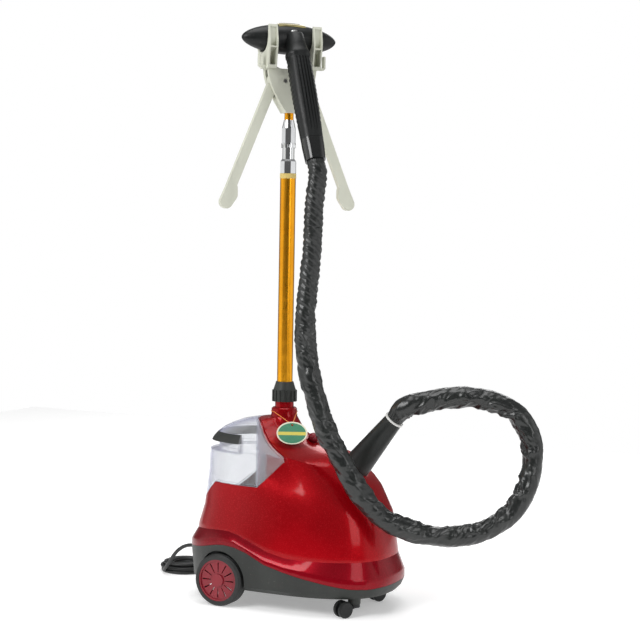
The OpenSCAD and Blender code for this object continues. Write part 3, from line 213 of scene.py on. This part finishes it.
def creases(p, seed, octaves, finer=0.36, sharp=2.2):
    # folded noise: sharp ridges where smooth noise changes sign, with weaker ones of half their size
    total, size = 0, 0
    for k in range(octaves):
        total = total + (1 - np.abs(gradientNoise(p * 2 ** k + 7.3 * k, seed + k)) * sharp) * finer ** k
        size += finer ** k
    return total / size


# steam hose in its gathered cloth sleeve

hose = dict(thick=0.030, step=0.0016, around=84, core=0.0118, smoothSide=0.0148, loose=0.0078,
            foldLength=0.034, foldSlant=0.55, slantLength=0.16, slackLength=0.05, seed=5,
            pleatPitch=0.0100, pleatDepth=0.0020, pleatTurns=6, hangingFold=0.0020,
            tightBend=7.0, bendReach=30, bendSpread=12.0, gatherFrom=0.10, gatherOver=0.25,
            endCuff=0.020, gripEnd=0.0131, neckEnd=0.0133, tuck=0.0004)

seam = (0.057, -0.078, 0.600)
# points in metres from the seam down in front of the casing, out round the loop and back to the connector
loopRoute = [seam, (.057, -.080, .572), (.056, -.083, .540), (.054, -.087, .505), (.053, -.090, .470),
             (.053, -.092, .440), (.058, -.094, .400), (.066, -.096, .365), (.076, -.096, .335),
             (.087, -.096, .303), (.102, -.094, .272), (.119, -.091, .243), (.133, -.086, .217),
             (.148, -.080, .192), (.166, -.070, .168), (.190, -.056, .148), (.222, -.035, .134),
             (.262, -.009, .128), (.302, .016, .134), (.334, .036, .152), (.355, .050, .178),
             (.367, .060, .210), (.371, .066, .245), (.367, .068, .279), (.352, .065, .307),
             (.328, .059, .327), (.296, .048, .337), (.262, .034, .340), (.230, .020, .336),
             (.203, .008, .329), (.1804, 0, .3194), (.1665, 0, .3023)]
riseRoute = [(.0548, -.0695, .7016), (.0606, -.0743, .6852), (.059, -.075, .655), (.057, -.076, .628), seam]


def cuffed(radius, fromEnd, end, h):
    # draws the sleeve in to its end radius over the length of its elastic cuff
    share = eased(fromEnd / h["endCuff"])[:, None]
    return radius * share + end * (1 - share)


def sleeveRadius(line, h, gathered):
    # radius(s, a): slack cloth over a round core. It lies smooth on the outside of a bend, gathers in creases
    # on the inside, has slanting pleats where it hangs straight, and closes on an elastic cuff below the grip
    s, seed = runAlong(line), h["seed"]
    a = np.linspace(0, 2 * np.pi, h["around"], endpoint=False)
    along, across, up = carriedFrames(line)
    bend = np.gradient(along, s, axis=0)
    soft = np.exp(-0.5 * (np.arange(-h["bendReach"], h["bendReach"] + 1) / h["bendSpread"]) ** 2)
    bend = np.stack([np.convolve(bend[:, i], soft / soft.sum(), "same") for i in range(3)], 1)
    inside = np.clip((ringWays(across, up, h["around"]) * bend[:, None]).sum(-1) / h["tightBend"], -1, 1)
    inside = 0.5 + 0.5 * inside
    slant = a[None] + s[:, None] * 2 * np.pi * h["foldSlant"] / h["slantLength"]
    down = np.broadcast_to(s[:, None] / h["foldLength"], slant.shape)
    q = np.stack([np.cos(slant) * 0.8, np.sin(slant) * 0.8, down], -1)
    warp = np.stack([gradientNoise(q * 1.3 + (11 + 20 * i), seed + 40 + i) for i in range(3)], -1)
    folds = np.clip(creases(q + 0.55 * warp, seed, 2), 0, 1) ** 1.3
    slow = np.stack([s / h["slackLength"], s * 0, s * 0], -1)
    slack = 0.5 + 0.5 * gradientNoise(slow, seed + 9)[:, None] * 1.6
    amount = h["loose"] * (0.28 + 0.72 * inside) * (0.45 + 0.75 * np.clip(slack, 0, 1)) * gathered
    radius = h["core"] + (h["smoothSide"] - h["core"]) * (1 - inside) * gathered + amount * folds
    wander = 0.9 * gradientNoise(q * 0.6, seed + 60)
    pleat = np.sin(2 * np.pi * s[:, None] / h["pleatPitch"] + h["pleatTurns"] * a[None] + wander)
    pleat = 0.5 + 0.5 * pleat
    hanging = 1 - gathered * 0.85
    radius = radius + hanging * (h["pleatDepth"] * pleat ** 1.4 + h["hangingFold"] * folds)
    tuck = h["tuck"] * np.sin(26 * a)[None] + h["tuck"] / 2 * np.sin(11 * a + 1)[None]
    return cuffed(radius, s, h["gripEnd"] + tuck, h)


def hoseLines(h):
    # one smooth line over both routes, cut at the seam, so that the two sleeves meet with no kink
    whole = smoothLine(riseRoute + loopRoute[1:], h["step"])
    cut = int(np.argmin(np.linalg.norm(whole - np.array(seam), axis=1)))
    return whole[:cut + 1], whole[cut:]


riseLine, loopLine = hoseLines(hose)


def sleeves(h):
    # one gathered surface down the whole hose, cut in two pieces at the seam
    whole = np.concatenate([riseLine, loopLine[1:]])
    n = len(riseLine)
    s = np.linspace(0, lineLength(whole), len(whole))
    gathered = eased((s - h["gatherFrom"]) / h["gatherOver"])[:, None]
    a = np.linspace(0, 2 * np.pi, h["around"], endpoint=False)
    neck = h["neckEnd"] + h["tuck"] * np.sin(24 * a)[None]
    radius = cuffed(sleeveRadius(whole, h, gathered), s[-1] - s, neck, h)
    grid = tube(whole, radius, h["around"])
    return gridPiece("hoseSleeveRise", grid[:n]), gridPiece("hoseSleeveLoop", grid[n - 1:])


sleeveRise, sleeveLoop = sleeves(hose)
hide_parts("hose_upper")
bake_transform(sleeveRise)
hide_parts("hose_lower")
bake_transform(sleeveLoop)
round(lineLength(loopLine), 4)
print("hose sleeves made:", round(lineLength(riseLine) + lineLength(loopLine), 3), "m")


# mains lead, with its coil and its last stretch to the plug

lead = dict(thick=0.006, step=0.0015, around=18, coilAt=(-.262, .086), rings=(.02705, .0330, .03895),
            levels=(.0032, .0090, .0149), turns=(0.06, 7.25), perTurn=28, ripple=0.0004)
leadRoute = [(-.188, .015, .062), (-.201, .015, .062), (-.215, .016, .060), (-.230, .018, .053),
             (-.244, .022, .041), (-.256, .028, .027), (-.268, .036, .015), (-.278, .046, .007),
             (-.287, .058, .0034), (-.293, .071, .0032), (-.295, .086, .0032)]
plugRoute = [(-.250, .1249, .0098), (-.240, .1249, .010), (-.232, .1249, .010)]


def coilTurns(c):
    # turn(t): round the coil's middle, radius and height easing from one ring to the next within a turn
    inner, middle, outer = c["rings"]
    low, mid, high = c["levels"]
    first, last = c["turns"]
    stops = np.array([[0, middle, low], [.8, middle, low], [1, outer, low], [1.85, outer, low],
                      [2.1, middle, mid], [2.85, middle, mid], [3.1, inner, mid], [3.85, inner, mid],
                      [4.1, inner, high], [4.85, inner, high], [5.1, middle, high], [5.95, middle, high],
                      [6.2, outer, mid], [last, outer, mid]])
    t = np.arange(first, last, 1 / c["perTurn"])
    r = np.interp(t, stops[:, 0], stops[:, 1]) + c["ripple"] * np.sin(9 * t)
    z = np.interp(t, stops[:, 0], stops[:, 2])
    a = np.pi - 2 * np.pi * t
    return np.stack([c["coilAt"][0] + r * np.cos(a), c["coilAt"][1] + r * np.sin(a), z], 1)


def leadLine(c):
    return smoothLine(leadRoute[1:] + coilTurns(c).tolist() + plugRoute, c["step"])


mainsLine = leadLine(lead)
mainsLead = gridPiece("mainsLead", tube(mainsLine, lead["thick"] / 2, lead["around"]))
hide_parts("power_cord", "cord_coil")
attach(mainsLead, "base")
round(lineLength(mainsLine), 3)
print("mains lead made:", round(lineLength(mainsLine), 3), "m")


# elastic loop that holds the tag

elastic = dict(thick=0.0012, step=0.0012, around=10, hole=(.00575, -.03733, .28537), centre=(-.028, 0),
               reach=0.0211, height=0.302, apart=0.0012)


def elasticLine(c):
    # from the tag's hole straight to the ring, round its far side, and straight back to the hole
    hole, middle = np.array(c["hole"]), np.array(c["centre"])
    away = hole[:2] - middle
    facing, half = math.atan2(away[1], away[0]), math.acos(c["reach"] / np.linalg.norm(away))
    a = np.linspace(facing + half, facing + 2 * np.pi - half, 60)
    x, y = middle[0] + c["reach"] * np.cos(a), middle[1] + c["reach"] * np.sin(a)
    arc = np.stack([x, y, a * 0 + c["height"]], 1)
    share = np.linspace(0, 1, 14, endpoint=False)[:, None]
    out = hole * (1 - share) + arc[0] * share
    back = arc[-1] * (1 - share[1:]) + (hole + np.array((c["apart"], 0, 0))) * share[1:]
    return evenLine(np.concatenate([out, arc, back]), c["step"])


tagLine = elasticLine(elastic)
tagElastic = gridPiece("tagElastic", tube(tagLine, elastic["thick"] / 2, elastic["around"]))
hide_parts("tag_string")
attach(tagElastic, "base")
round(lineLength(tagLine), 4)
print("tag elastic made:", round(lineLength(tagLine), 3), "m")


# finishes


class Thread:
    # one socket of a finish; sums on it add their Math nodes
    def __init__(self, finish, socket):
        self.finish, self.socket = finish, socket

    def sum(self, operation, *terms):
        return self.finish.add("Math", dict(operation=operation), dict(enumerate(terms)))

    def __add__(self, other):
        return self.sum("ADD", self, other)

    def __radd__(self, other):
        return self.sum("ADD", other, self)

    def __sub__(self, other):
        return self.sum("SUBTRACT", self, other)

    def __rsub__(self, other):
        return self.sum("SUBTRACT", other, self)

    def __mul__(self, other):
        return self.sum("MULTIPLY", self, other)

    def __rmul__(self, other):
        return self.sum("MULTIPLY", other, self)

    def __truediv__(self, other):
        return self.sum("DIVIDE", self, other)

    def __pow__(self, other):
        return self.sum("POWER", self, other)

    def between(self, low, high):
        # eased from 0 to 1 as it goes from low to high
        inputs = {"Value": self, "From Min": low, "From Max": high, "To Min": 0.0, "To Max": 1.0}
        return self.finish.add("MapRange", dict(interpolation_type="SMOOTHSTEP"), inputs)


class Finish:
    def __init__(self, name):
        self.material = bpy.data.materials.new(name)
        self.material.use_nodes = True
        self.nodes, self.links = self.material.node_tree.nodes, self.material.node_tree.links
        self.nodes.clear()
        self.end = self.nodes.new("ShaderNodeOutputMaterial")
        self.body = self.nodes.new("ShaderNodeBsdfPrincipled")
        self.links.new(self.body.outputs[0], self.end.inputs[0])

    def add(self, kind, settings=None, inputs=None, take=0):
        # a node of this kind: settings first, then the values or links of its sockets
        node = self.nodes.new("ShaderNode" + kind)
        for key, value in (settings or {}).items():
            setattr(node, key, value)
        for key, value in (inputs or {}).items():
            self.put(node.inputs[key], value)
        return Thread(self, node.outputs[take])

    def put(self, socket, value):
        if isinstance(value, Thread):
            self.links.new(value.socket, socket)
        elif isinstance(value, (tuple, list)) and len(value) == 3 and socket.type == "RGBA":
            socket.default_value = (*value, 1)
        else:
            socket.default_value = value

    def place(self, centre=(0, 0, 0), turn=(0, 0, 0), stretch=(1, 1, 1), kind="Object"):
        # where a pattern lies: the piece's own coordinates, centred, turned and stretched
        at = self.add("TexCoord", take=["Generated", "Normal", "UV", "Object"].index(kind))
        moved = self.add("Mapping", None, {"Vector": at, "Location": tuple(-c for c in centre)})
        turned = self.add("Mapping", None, {"Vector": moved, "Rotation": turn})
        return self.add("Mapping", None, {"Vector": turned, "Scale": stretch})

    def noise(self, at, scale, detail=2.0, roughness=0.5):
        inputs = {"Vector": at, "Scale": scale, "Detail": detail, "Roughness": roughness}
        return self.add("TexNoise", None, inputs)

    def cells(self, at, scale, take="Distance"):
        return self.add("TexVoronoi", dict(feature="F1"), {"Vector": at, "Scale": scale}, take)

    def split(self, at):
        node = self.nodes.new("ShaderNodeSeparateXYZ")
        self.put(node.inputs[0], at)
        return [Thread(self, o) for o in node.outputs]

    def mix(self, share, a, b):
        return self.add("Mix", dict(data_type="RGBA", blend_type="MIX"), {0: share, 6: a, 7: b}, 2)

    def bump(self, height, distance, strength=1.0, under=None):
        inputs = {"Height": height, "Distance": distance, "Strength": strength}
        if under is not None:
            inputs["Normal"] = under
        return self.add("Bump", None, inputs)

    def set(self, **sockets):
        # baseColor goes to Base Color, and so on
        for key, value in sockets.items():
            words = "".join(" " + letter if letter.isupper() else letter for letter in key)
            self.put(self.body.inputs[words.title().replace("Ior", "IOR")], value)
        return self.material


def paintedShell(name, look):
    # pearl lacquer: a deep base, fine mica flakes, a clear coat with a faint orange peel and hairline rubs
    f = Finish(name)
    at = f.place()
    flake = f.cells(at, look["flakeScale"], take="Color")
    glint = f.split(flake)[0].between(0.80, 1.0)
    drift = f.noise(at, 5.0, 3.0)
    tone = f.mix(drift.between(0.35, 0.68), look["deep"], look["colour"])
    tone = f.mix(glint * look["glint"], tone, look["mica"])
    rubs = f.noise(f.place(turn=(0.4, 0.2, 0.7), stretch=(9, 1, 5)), 60.0, 6.0, 0.7).between(0.62, 0.70)
    peel = f.noise(at, 210.0, 1.0)
    bump = f.bump(peel, 0.00012, 0.35)
    bump = f.bump(f.split(flake)[1], 0.00003, 0.25, bump)
    return f.set(baseColor=tone, metallic=glint * 0.15 + look["metal"], roughness=rubs * 0.14 + look["rough"],
                 normal=bump, coatWeight=0.32, coatRoughness=look["coat"], specularIorLevel=0.03)


# what a moulded plastic has unless its own look says otherwise
plainPlastic = dict(dust=0.10, dustColour=(0.32, 0.31, 0.29), shine=0.08, bite=0.5,
                    coat=0.0, coatRough=0.2, gloss=0.3)


def mouldedPlastic(name, ownLook):
    # moulded plastic: fine spark-eroded grain, faint flow marks, and handling shine in patches
    f, look = Finish(name), {**plainPlastic, **ownLook}
    at = f.place()
    grain = f.cells(at, look["grain"]) * 0.6 + f.noise(at, look["grain"] * 0.6, 3.0, 0.6) * 0.7
    flow = f.noise(f.place(stretch=(1, 1, 0.35)), 14.0, 4.0, 0.6)
    worn = f.noise(at, 26.0, 5.0, 0.65).between(0.45, 0.72)
    dust = f.noise(at, 320.0, 2.0, 0.7).between(0.62, 0.8)
    tone = f.mix(flow.between(0.3, 0.7), look["dark"], look["colour"])
    tone = f.mix(dust * look["dust"], tone, look["dustColour"])
    rough = look["rough"] - worn * look["shine"] + dust * 0.05
    return f.set(baseColor=tone, roughness=rough, normal=f.bump(grain, look["depth"], look["bite"]),
                 coatWeight=look["coat"], coatRoughness=look["coatRough"], specularIorLevel=look["gloss"])


def drawnMetal(name, look):
    # drawn or plated metal: hairlines along the draw, tarnish in soft clouds and a few rubbed patches
    f = Finish(name)
    lines = f.noise(f.place(stretch=look["stretch"]), look["lines"], 5.0, 0.65)
    cloud = f.noise(f.place(), 22.0, 4.0, 0.6)
    handled = f.noise(f.place(turn=(0.3, 0.1, 0.5)), 75.0, 3.0).between(0.55, 0.75)
    tone = f.mix(cloud.between(0.3, 0.7), look["dark"], look["colour"])
    tone = f.mix(lines.between(0.35, 0.75) * look["streak"], tone, look["light"])
    rough = lines * look["spread"] + look["rough"] + handled * 0.06
    return f.set(baseColor=tone, metallic=1.0, roughness=rough, normal=f.bump(lines, look["depth"], 0.3))


def clearShell(name, look):
    # clear moulded plastic: what is behind shows through, walls seen edge-on turn milky blue, wipe marks show
    f = Finish(name)
    at = f.place()
    haze = f.noise(at, 16.0, 5.0, 0.65).between(0.35, 0.75)
    wipe = f.noise(f.place(turn=(0.2, 0.9, 0.3), stretch=(1, 12, 1)), 40.0, 4.0, 0.6).between(0.6, 0.78)
    edge = f.add("LayerWeight", None, {"Blend": look["edgeBlend"]}, 1)
    body = haze * look["haze"] + wipe * 0.03 + look["body"]
    tone = f.mix(edge.between(0.3, 1.0), look["colour"], look["edge"])
    f.set(baseColor=tone, roughness=wipe * 0.10 + look["rough"], normal=f.bump(haze, 0.0004, 0.15),
          specularIorLevel=0.6)
    clear = f.add("BsdfTransparent", None, {"Color": look["tint"]})
    milky = (edge ** 2.2) * look["edgeShare"]
    share = f.add("Math", dict(operation="ADD", use_clamp=True), {0: body, 1: milky})
    mixed = f.nodes.new("ShaderNodeMixShader")
    f.put(mixed.inputs[0], share)
    f.links.new(clear.socket, mixed.inputs[1])
    f.links.new(f.body.outputs[0], mixed.inputs[2])
    f.links.new(mixed.outputs[0], f.end.inputs[0])
    return f.material


def wovenSleeve(name, look):
    # satin sleeve: warp and weft crossing along the cloth's own directions, a little lint, a soft sheen
    f = Finish(name)
    u, v, _ = f.split(f.place(kind="UV", stretch=(look["threads"], look["threads"], 1)))
    fullTurn = 6.2832
    warp = f.add("Math", dict(operation="SINE"), {0: u * fullTurn})
    weft = f.add("Math", dict(operation="SINE"), {0: v * fullTurn})
    weave = warp * weft * 0.5 + 0.5
    slub = f.noise(f.place(kind="UV", stretch=(900, 60, 1)), 1.0, 3.0, 0.6)
    cloud = f.noise(f.place(), 30.0, 4.0, 0.6)
    lint = f.noise(f.place(), 420.0, 2.0, 0.8).between(0.74, 0.82)
    tone = f.mix(cloud.between(0.3, 0.7), look["dark"], look["colour"])
    tone = f.mix(weave * 0.22, tone, look["light"])
    tone = f.mix(lint * 0.22, tone, (0.12, 0.13, 0.12))
    bump = f.bump(weave + slub * 0.4, look["depth"], 0.18)
    wrinkle = f.noise(f.place(), 60.0, 0.6, 0.4)
    bump = f.bump(wrinkle, 0.0022, 0.5, bump)
    return f.set(baseColor=tone, roughness=slub * 0.06 + look["rough"], normal=bump, sheenWeight=0.03,
                 sheenRoughness=0.35, specularIorLevel=0.62)


def rubberSkin(name, look):
    # rubber: even fine pitting, bloom in soft patches, scuffs that stand a little lighter
    f = Finish(name)
    at = f.place()
    pits = f.noise(at, look["pits"], 3.0, 0.6)
    bloom = f.noise(at, 35.0, 4.0, 0.65).between(0.40, 0.75)
    scuff = f.noise(f.place(turn=(0.5, 0.3, 0.1), stretch=(1, 6, 1)), 120.0, 3.0, 0.6).between(0.63, 0.74)
    tone = f.mix(bloom * look["bloom"], look["colour"], look["light"])
    tone = f.mix(scuff * 0.30, tone, look["light"])
    return f.set(baseColor=tone, roughness=bloom * 0.10 + look["rough"],
                 normal=f.bump(pits, look["depth"], 0.5))


print("finishes begun")
pearlRed = paintedShell("pearlRed", dict(
    colour=(.40, .0006, .005), deep=(.26, .0003, .003), mica=(.80, .03, .04), flakeScale=1500,
    glint=0.35, metal=0.35, rough=0.30, coat=0.09))
skirtRed = paintedShell("skirtRed", dict(
    colour=(.25, .0005, .007), deep=(.16, .0003, .005), mica=(.55, .02, .04), flakeScale=1500,
    glint=0.35, metal=0.35, rough=0.28, coat=0.06))
hubRed = mouldedPlastic("hubRed", dict(
    colour=(.26, .010, .022), dark=(.18, .006, .014), grain=900, depth=0.00008, rough=0.34, coat=0.3,
    coatRough=0.12, dust=0.06))
panGrey = mouldedPlastic("panGrey", dict(
    colour=(.034, .037, .034), dark=(.024, .026, .024), grain=1100, depth=0.00020, rough=0.46))
coneGrey = mouldedPlastic("coneGrey", dict(
    colour=(.022, .025, .023), dark=(.014, .016, .015), grain=1300, depth=0.00012, rough=0.38))
casterBlack = mouldedPlastic("casterBlack", dict(
    colour=(.014, .015, .015), dark=(.009, .010, .010), grain=1200, depth=0.0001, rough=0.42))
gripBlack = mouldedPlastic("gripBlack", dict(
    colour=(.009, .010, .010), dark=(.005, .006, .006), grain=1500, depth=0.0001, rough=0.40))
capBlack = mouldedPlastic("capBlack", dict(
    colour=(.007, .008, .008), dark=(.005, .005, .005), grain=1700, depth=0.00003, rough=0.18, coat=0.6,
    coatRough=0.05, dust=0.03))
headGrey = mouldedPlastic("headGrey", dict(
    colour=(.66, .67, .57), dark=(.57, .58, .49), grain=1000, depth=0.0001, rough=0.42, dust=0.02))
softWhite = mouldedPlastic("softWhite", dict(
    colour=(.74, .74, .71), dark=(.66, .66, .64), grain=900, depth=0.0001, rough=0.40, dust=0.02))
anodisedGold = drawnMetal("anodisedGold", dict(
    colour=(.96, .42, .016), dark=(.86, .34, .010), light=(.98, .52, .08), stretch=(60, 60, 1.2),
    lines=22, streak=0.22, spread=0.08, rough=0.24, depth=0.00002))
bandCream = mouldedPlastic("bandCream", dict(
    colour=(.72, .56, .20), dark=(.62, .46, .15), grain=1400, depth=0.00005, rough=0.35, dust=0.05))
trimGold = drawnMetal("trimGold", dict(
    colour=(.58, .50, .22), dark=(.46, .38, .14), light=(.80, .74, .46), stretch=(2, 60, 60), lines=22,
    streak=0.30, spread=0.20, rough=0.20, depth=0.00004))
platedChrome = drawnMetal("platedChrome", dict(
    colour=(.80, .81, .82), dark=(.66, .67, .68), light=(.92, .93, .94), stretch=(30, 30, 2), lines=20,
    streak=0.2, spread=0.06, rough=0.05, depth=0.00002))
plainSteel = drawnMetal("plainSteel", dict(
    colour=(.56, .56, .55), dark=(.42, .42, .42), light=(.70, .70, .70), stretch=(8, 8, 8), lines=26,
    streak=0.3, spread=0.18, rough=0.24, depth=0.00005))
castAluminium = drawnMetal("castAluminium", dict(
    colour=(.66, .67, .68), dark=(.54, .55, .56), light=(.80, .80, .81), stretch=(4, 50, 4), lines=24,
    streak=0.3, spread=0.20, rough=0.22, depth=0.00005))
clearTank = clearShell("clearTank", dict(
    colour=(.86, .88, .90), edge=(.50, .52, .78), tint=(.93, .934, .945), body=0.07, haze=0.06,
    edgeBlend=0.45, edgeShare=0.55, rough=0.05))
sleeveCloth = wovenSleeve("sleeveCloth", dict(
    colour=(.008, .010, .009), dark=(.004, .005, .005), light=(.018, .021, .019), threads=1800,
    depth=0.00005, rough=0.26))
leadRubber = rubberSkin("leadRubber", dict(
    colour=(.009, .010, .010), light=(.036, .038, .036), pits=1600, depth=0.00006, rough=0.44,
    bloom=0.25))
tyreRubber = rubberSkin("tyreRubber", dict(
    colour=(.011, .012, .012), light=(.050, .050, .047), pits=1300, depth=0.00012, rough=0.55,
    bloom=0.30))
valveRubber = rubberSkin("valveRubber", dict(
    colour=(.030, .030, .030), light=(.09, .09, .09), pits=1300, depth=0.00006, rough=0.5, bloom=0.2))
orangeElastic = rubberSkin("orangeElastic", dict(
    colour=(.75, .22, .04), light=(.90, .45, .15), pits=2400, depth=0.0002, rough=0.6, bloom=0.4))


def tagCard(name, look):
    # printed card: a cream rim, a green field, one plain yellow band, paper fibre and a soft print edge
    f = Finish(name)
    low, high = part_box("hang_tag")
    middle = [(low[i] + high[i]) / 2 for i in range(3)]
    x, _, z = f.split(f.place(centre=middle, turn=(0, 0, math.radians(-look["turn"]))))
    up = z / math.cos(math.radians(look["lean"]))
    wobble = f.noise(f.place(), 900.0, 2.0) * 0.02
    across = f.add("Math", dict(operation="SQRT"), {0: (x / look["wide"]) ** 2 + (up / look["tall"]) ** 2})
    field = 1 - (across + wobble).between(0.90, 0.925)
    fromBand = f.add("Math", dict(operation="ABSOLUTE"), {0: up + look["bandDrop"]})
    band = 1 - fromBand.between(0.0026, 0.0031)
    fibre = f.noise(f.place(), 1500.0, 4.0, 0.7)
    tone = f.mix(field, look["cream"], look["green"])
    tone = f.mix(field * band, tone, look["yellow"])
    tone = f.mix(fibre.between(0.3, 0.8) * 0.12, tone, (.95, .95, .90))
    return f.set(baseColor=tone, roughness=fibre * 0.12 + 0.38, normal=f.bump(fibre, 0.00006, 0.4),
                 coatWeight=0.25, coatRoughness=0.15)


greenTag = tagCard("greenTag", dict(
    turn=26, lean=32, wide=0.0245, tall=0.0195, bandDrop=0.0006, cream=(.74, .72, .56),
    green=(.010, .20, .095), yellow=(.66, .56, .07)))

wear = {
    pearlRed: ["upper_housing", "tank_bay", "pole_socket"],
    skirtRed: ["skirt"],
    hubRed: ["wheel_left", "wheel_right", "power_knob"],
    panGrey: ["base_pan", "pole_collar", "tank_handle"],
    coneGrey: ["hose_connector", "switch_block", "thermostat", "tank_cap"],
    casterBlack: ["caster_fork_left", "caster_fork_right", "caster_wheels_left", "caster_wheels_right"],
    gripBlack: ["nozzle_housing", "handle_front", "handle_back", "brush_strip"],
    capBlack: ["handle_cap"],
    headGrey: ["head_front", "head_back", "cradle_left", "cradle_right", "hanger_arm_left",
               "hanger_arm_right"],
    softWhite: ["connector_ring", "feed_tube"],
    bandCream: ["tube_bush"],
    anodisedGold: ["outer_tube", "top_tube"],
    trimGold: ["nozzle_trim"],
    platedChrome: ["mid_tube", "mid_lock_body", "lower_lock_nut", "upper_lock_nut"],
    plainSteel: ["wheel_axle", "boiler", "steam_pipe", "base_screws", "head_screws", "handle_screws",
                 "handle_pipe"],
    castAluminium: ["steam_plate"],
    clearTank: ["water_tank", "tank_cover"],
    sleeveCloth: ["hose_lower", "hose_upper"],
    leadRubber: ["power_cord", "cord_coil", "cord_gland", "plug"],
    tyreRubber: ["tyre_left", "tyre_right"],
    valveRubber: ["valve_pin"],
    orangeElastic: ["tag_string"],
    greenTag: ["hang_tag"],
}


def dress(piece, material):
    piece.data.materials.clear()
    piece.data.materials.append(material)


for material, names in wear.items():
    for name in names:
        dress(nodes[name], material)
for piece in (sleeveRise, sleeveLoop):
    dress(piece, sleeveCloth)
dress(mainsLead, leadRubber)
dress(tagElastic, orangeElastic)
print("finishes given to", sum(len(n) for n in wear.values()), "nodes")


edgeLook = dict(angle=35, weld=0.00002)


def softenEdges(piece, c):
    # joins the loose faces, keeps the edges sharper than the angle and shades the rest as one surface
    mesh = piece.data
    mesh.polygons.foreach_set("use_smooth", [True] * len(mesh.polygons))
    if "custom_normal" in mesh.attributes:
        mesh.attributes.remove(mesh.attributes["custom_normal"])
    join = piece.modifiers.new("join", "WELD")
    join.merge_threshold = c["weld"]
    part = piece.modifiers.new("part", "EDGE_SPLIT")
    part.split_angle = math.radians(c["angle"])
    part.use_edge_sharp = False


for piece in nodes.values():
    if not piece.hide_render:
        softenEdges(piece, edgeLook)
print("edges softened")


# floor and light

stageLook = dict(seen=1.0, low=0.08, high=0.34, sides=0.80, paper=(.90, .90, .90), fleck=(.80, .80, .80),
                 paperGlow=0.32, paperHalf=1.9, paperDrop=0.0002)
# each lamp: where it stands, what it points at, its two sides in metres, its power in watts
lamps = dict(key=((-0.9, -2.3, 2.0), (0, 0, 0.35), (1.4, 1.2), 44),
             fill=((2.4, -1.2, 1.3), (0, 0, 0.30), (1.0, 1.8), 16),
             top=((0.0, -0.1, 3.0), (0, 0, 0.2), (1.8, 1.8), 34),
             rim=((-0.5, 2.4, 1.8), (0, 0, 0.4), (1.6, 1.0), 18))


def softLight(name, place, aim, size, power):
    data = bpy.data.lights.new(name, "AREA")
    data.shape, data.size, data.size_y = "RECTANGLE", size[0], size[1]
    data.energy = power
    lamp = bpy.data.objects.new(name, data)
    bpy.context.scene.collection.objects.link(lamp)
    lamp.location = place
    lamp.rotation_mode = "QUATERNION"
    lamp.rotation_quaternion = (Vector(aim) - Vector(place)).to_track_quat("-Z", "Y")


def paperFloor(c):
    rows = np.linspace(-1, 1, 3) * c["paperHalf"]
    x, y = np.meshgrid(rows, rows, indexing="ij")
    floor = gridPiece("studioFloor", np.stack([x, y, x * 0 - c["paperDrop"]], -1), closed=False)
    f = Finish("studioPaper")
    grain = f.noise(f.place(), 60.0, 3.0)
    f.set(baseColor=f.mix(grain * 0.05, c["paper"], c["fleck"]), roughness=0.9, specularIorLevel=0.1,
          emissionColor=(1, 1, 1), emissionStrength=c["paperGlow"])
    dress(floor, f.material)


def paleRoom(c):
    # the camera sees a pale wall; a dim room, brighter towards its ceiling and with a white screen on either
    # hand, is what lights the machine and shows in it
    world = bpy.data.worlds.new("studio")
    world.use_nodes = True
    tree = world.node_tree
    tree.nodes.clear()

    def add(kind, settings, inputs):
        node = tree.nodes.new("ShaderNode" + kind)
        for key, value in settings.items():
            setattr(node, key, value)
        for key, value in inputs.items():
            if isinstance(value, bpy.types.NodeSocket):
                tree.links.new(value, node.inputs[key])
            else:
                node.inputs[key].default_value = value
        return node.outputs

    white = (1, 1, 1, 1)
    turn = math.radians(viewpoint["turn"])
    way = add("TexCoord", {}, {})["Generated"]
    height = add("SeparateXYZ", {}, {0: way})[2]
    rise = add("MapRange", {}, {"Value": height, "From Min": -0.1, "From Max": 0.9,
                                "To Min": c["low"], "To Max": c["high"]})[0]
    across = (math.cos(turn), math.sin(turn), 0)
    side = add("VectorMath", dict(operation="DOT_PRODUCT"), {0: way, 1: across})["Value"]
    reach = add("Math", dict(operation="ABSOLUTE"), {0: side})[0]
    screen = add("MapRange", dict(interpolation_type="SMOOTHSTEP"),
                 {"Value": reach, "From Min": 0.72, "From Max": 0.93, "To Min": 0, "To Max": c["sides"]})[0]
    strength = add("Math", dict(operation="ADD"), {0: screen, 1: rise})[0]
    room = add("Background", {}, {0: white, 1: strength})[0]
    wall = add("Background", {}, {0: white, 1: c["seen"]})[0]
    seen = add("LightPath", {}, {})["Is Camera Ray"]
    both = add("MixShader", {}, {0: seen, 1: room, 2: wall})[0]
    add("OutputWorld", {}, {0: both})
    bpy.context.scene.world = world


def studio(c):
    paperFloor(c)
    paleRoom(c)
    bpy.context.scene.view_settings.view_transform = "Standard"
    for name, setting in lamps.items():
        softLight(name, *setting)


studio(stageLook)
print("stage set")
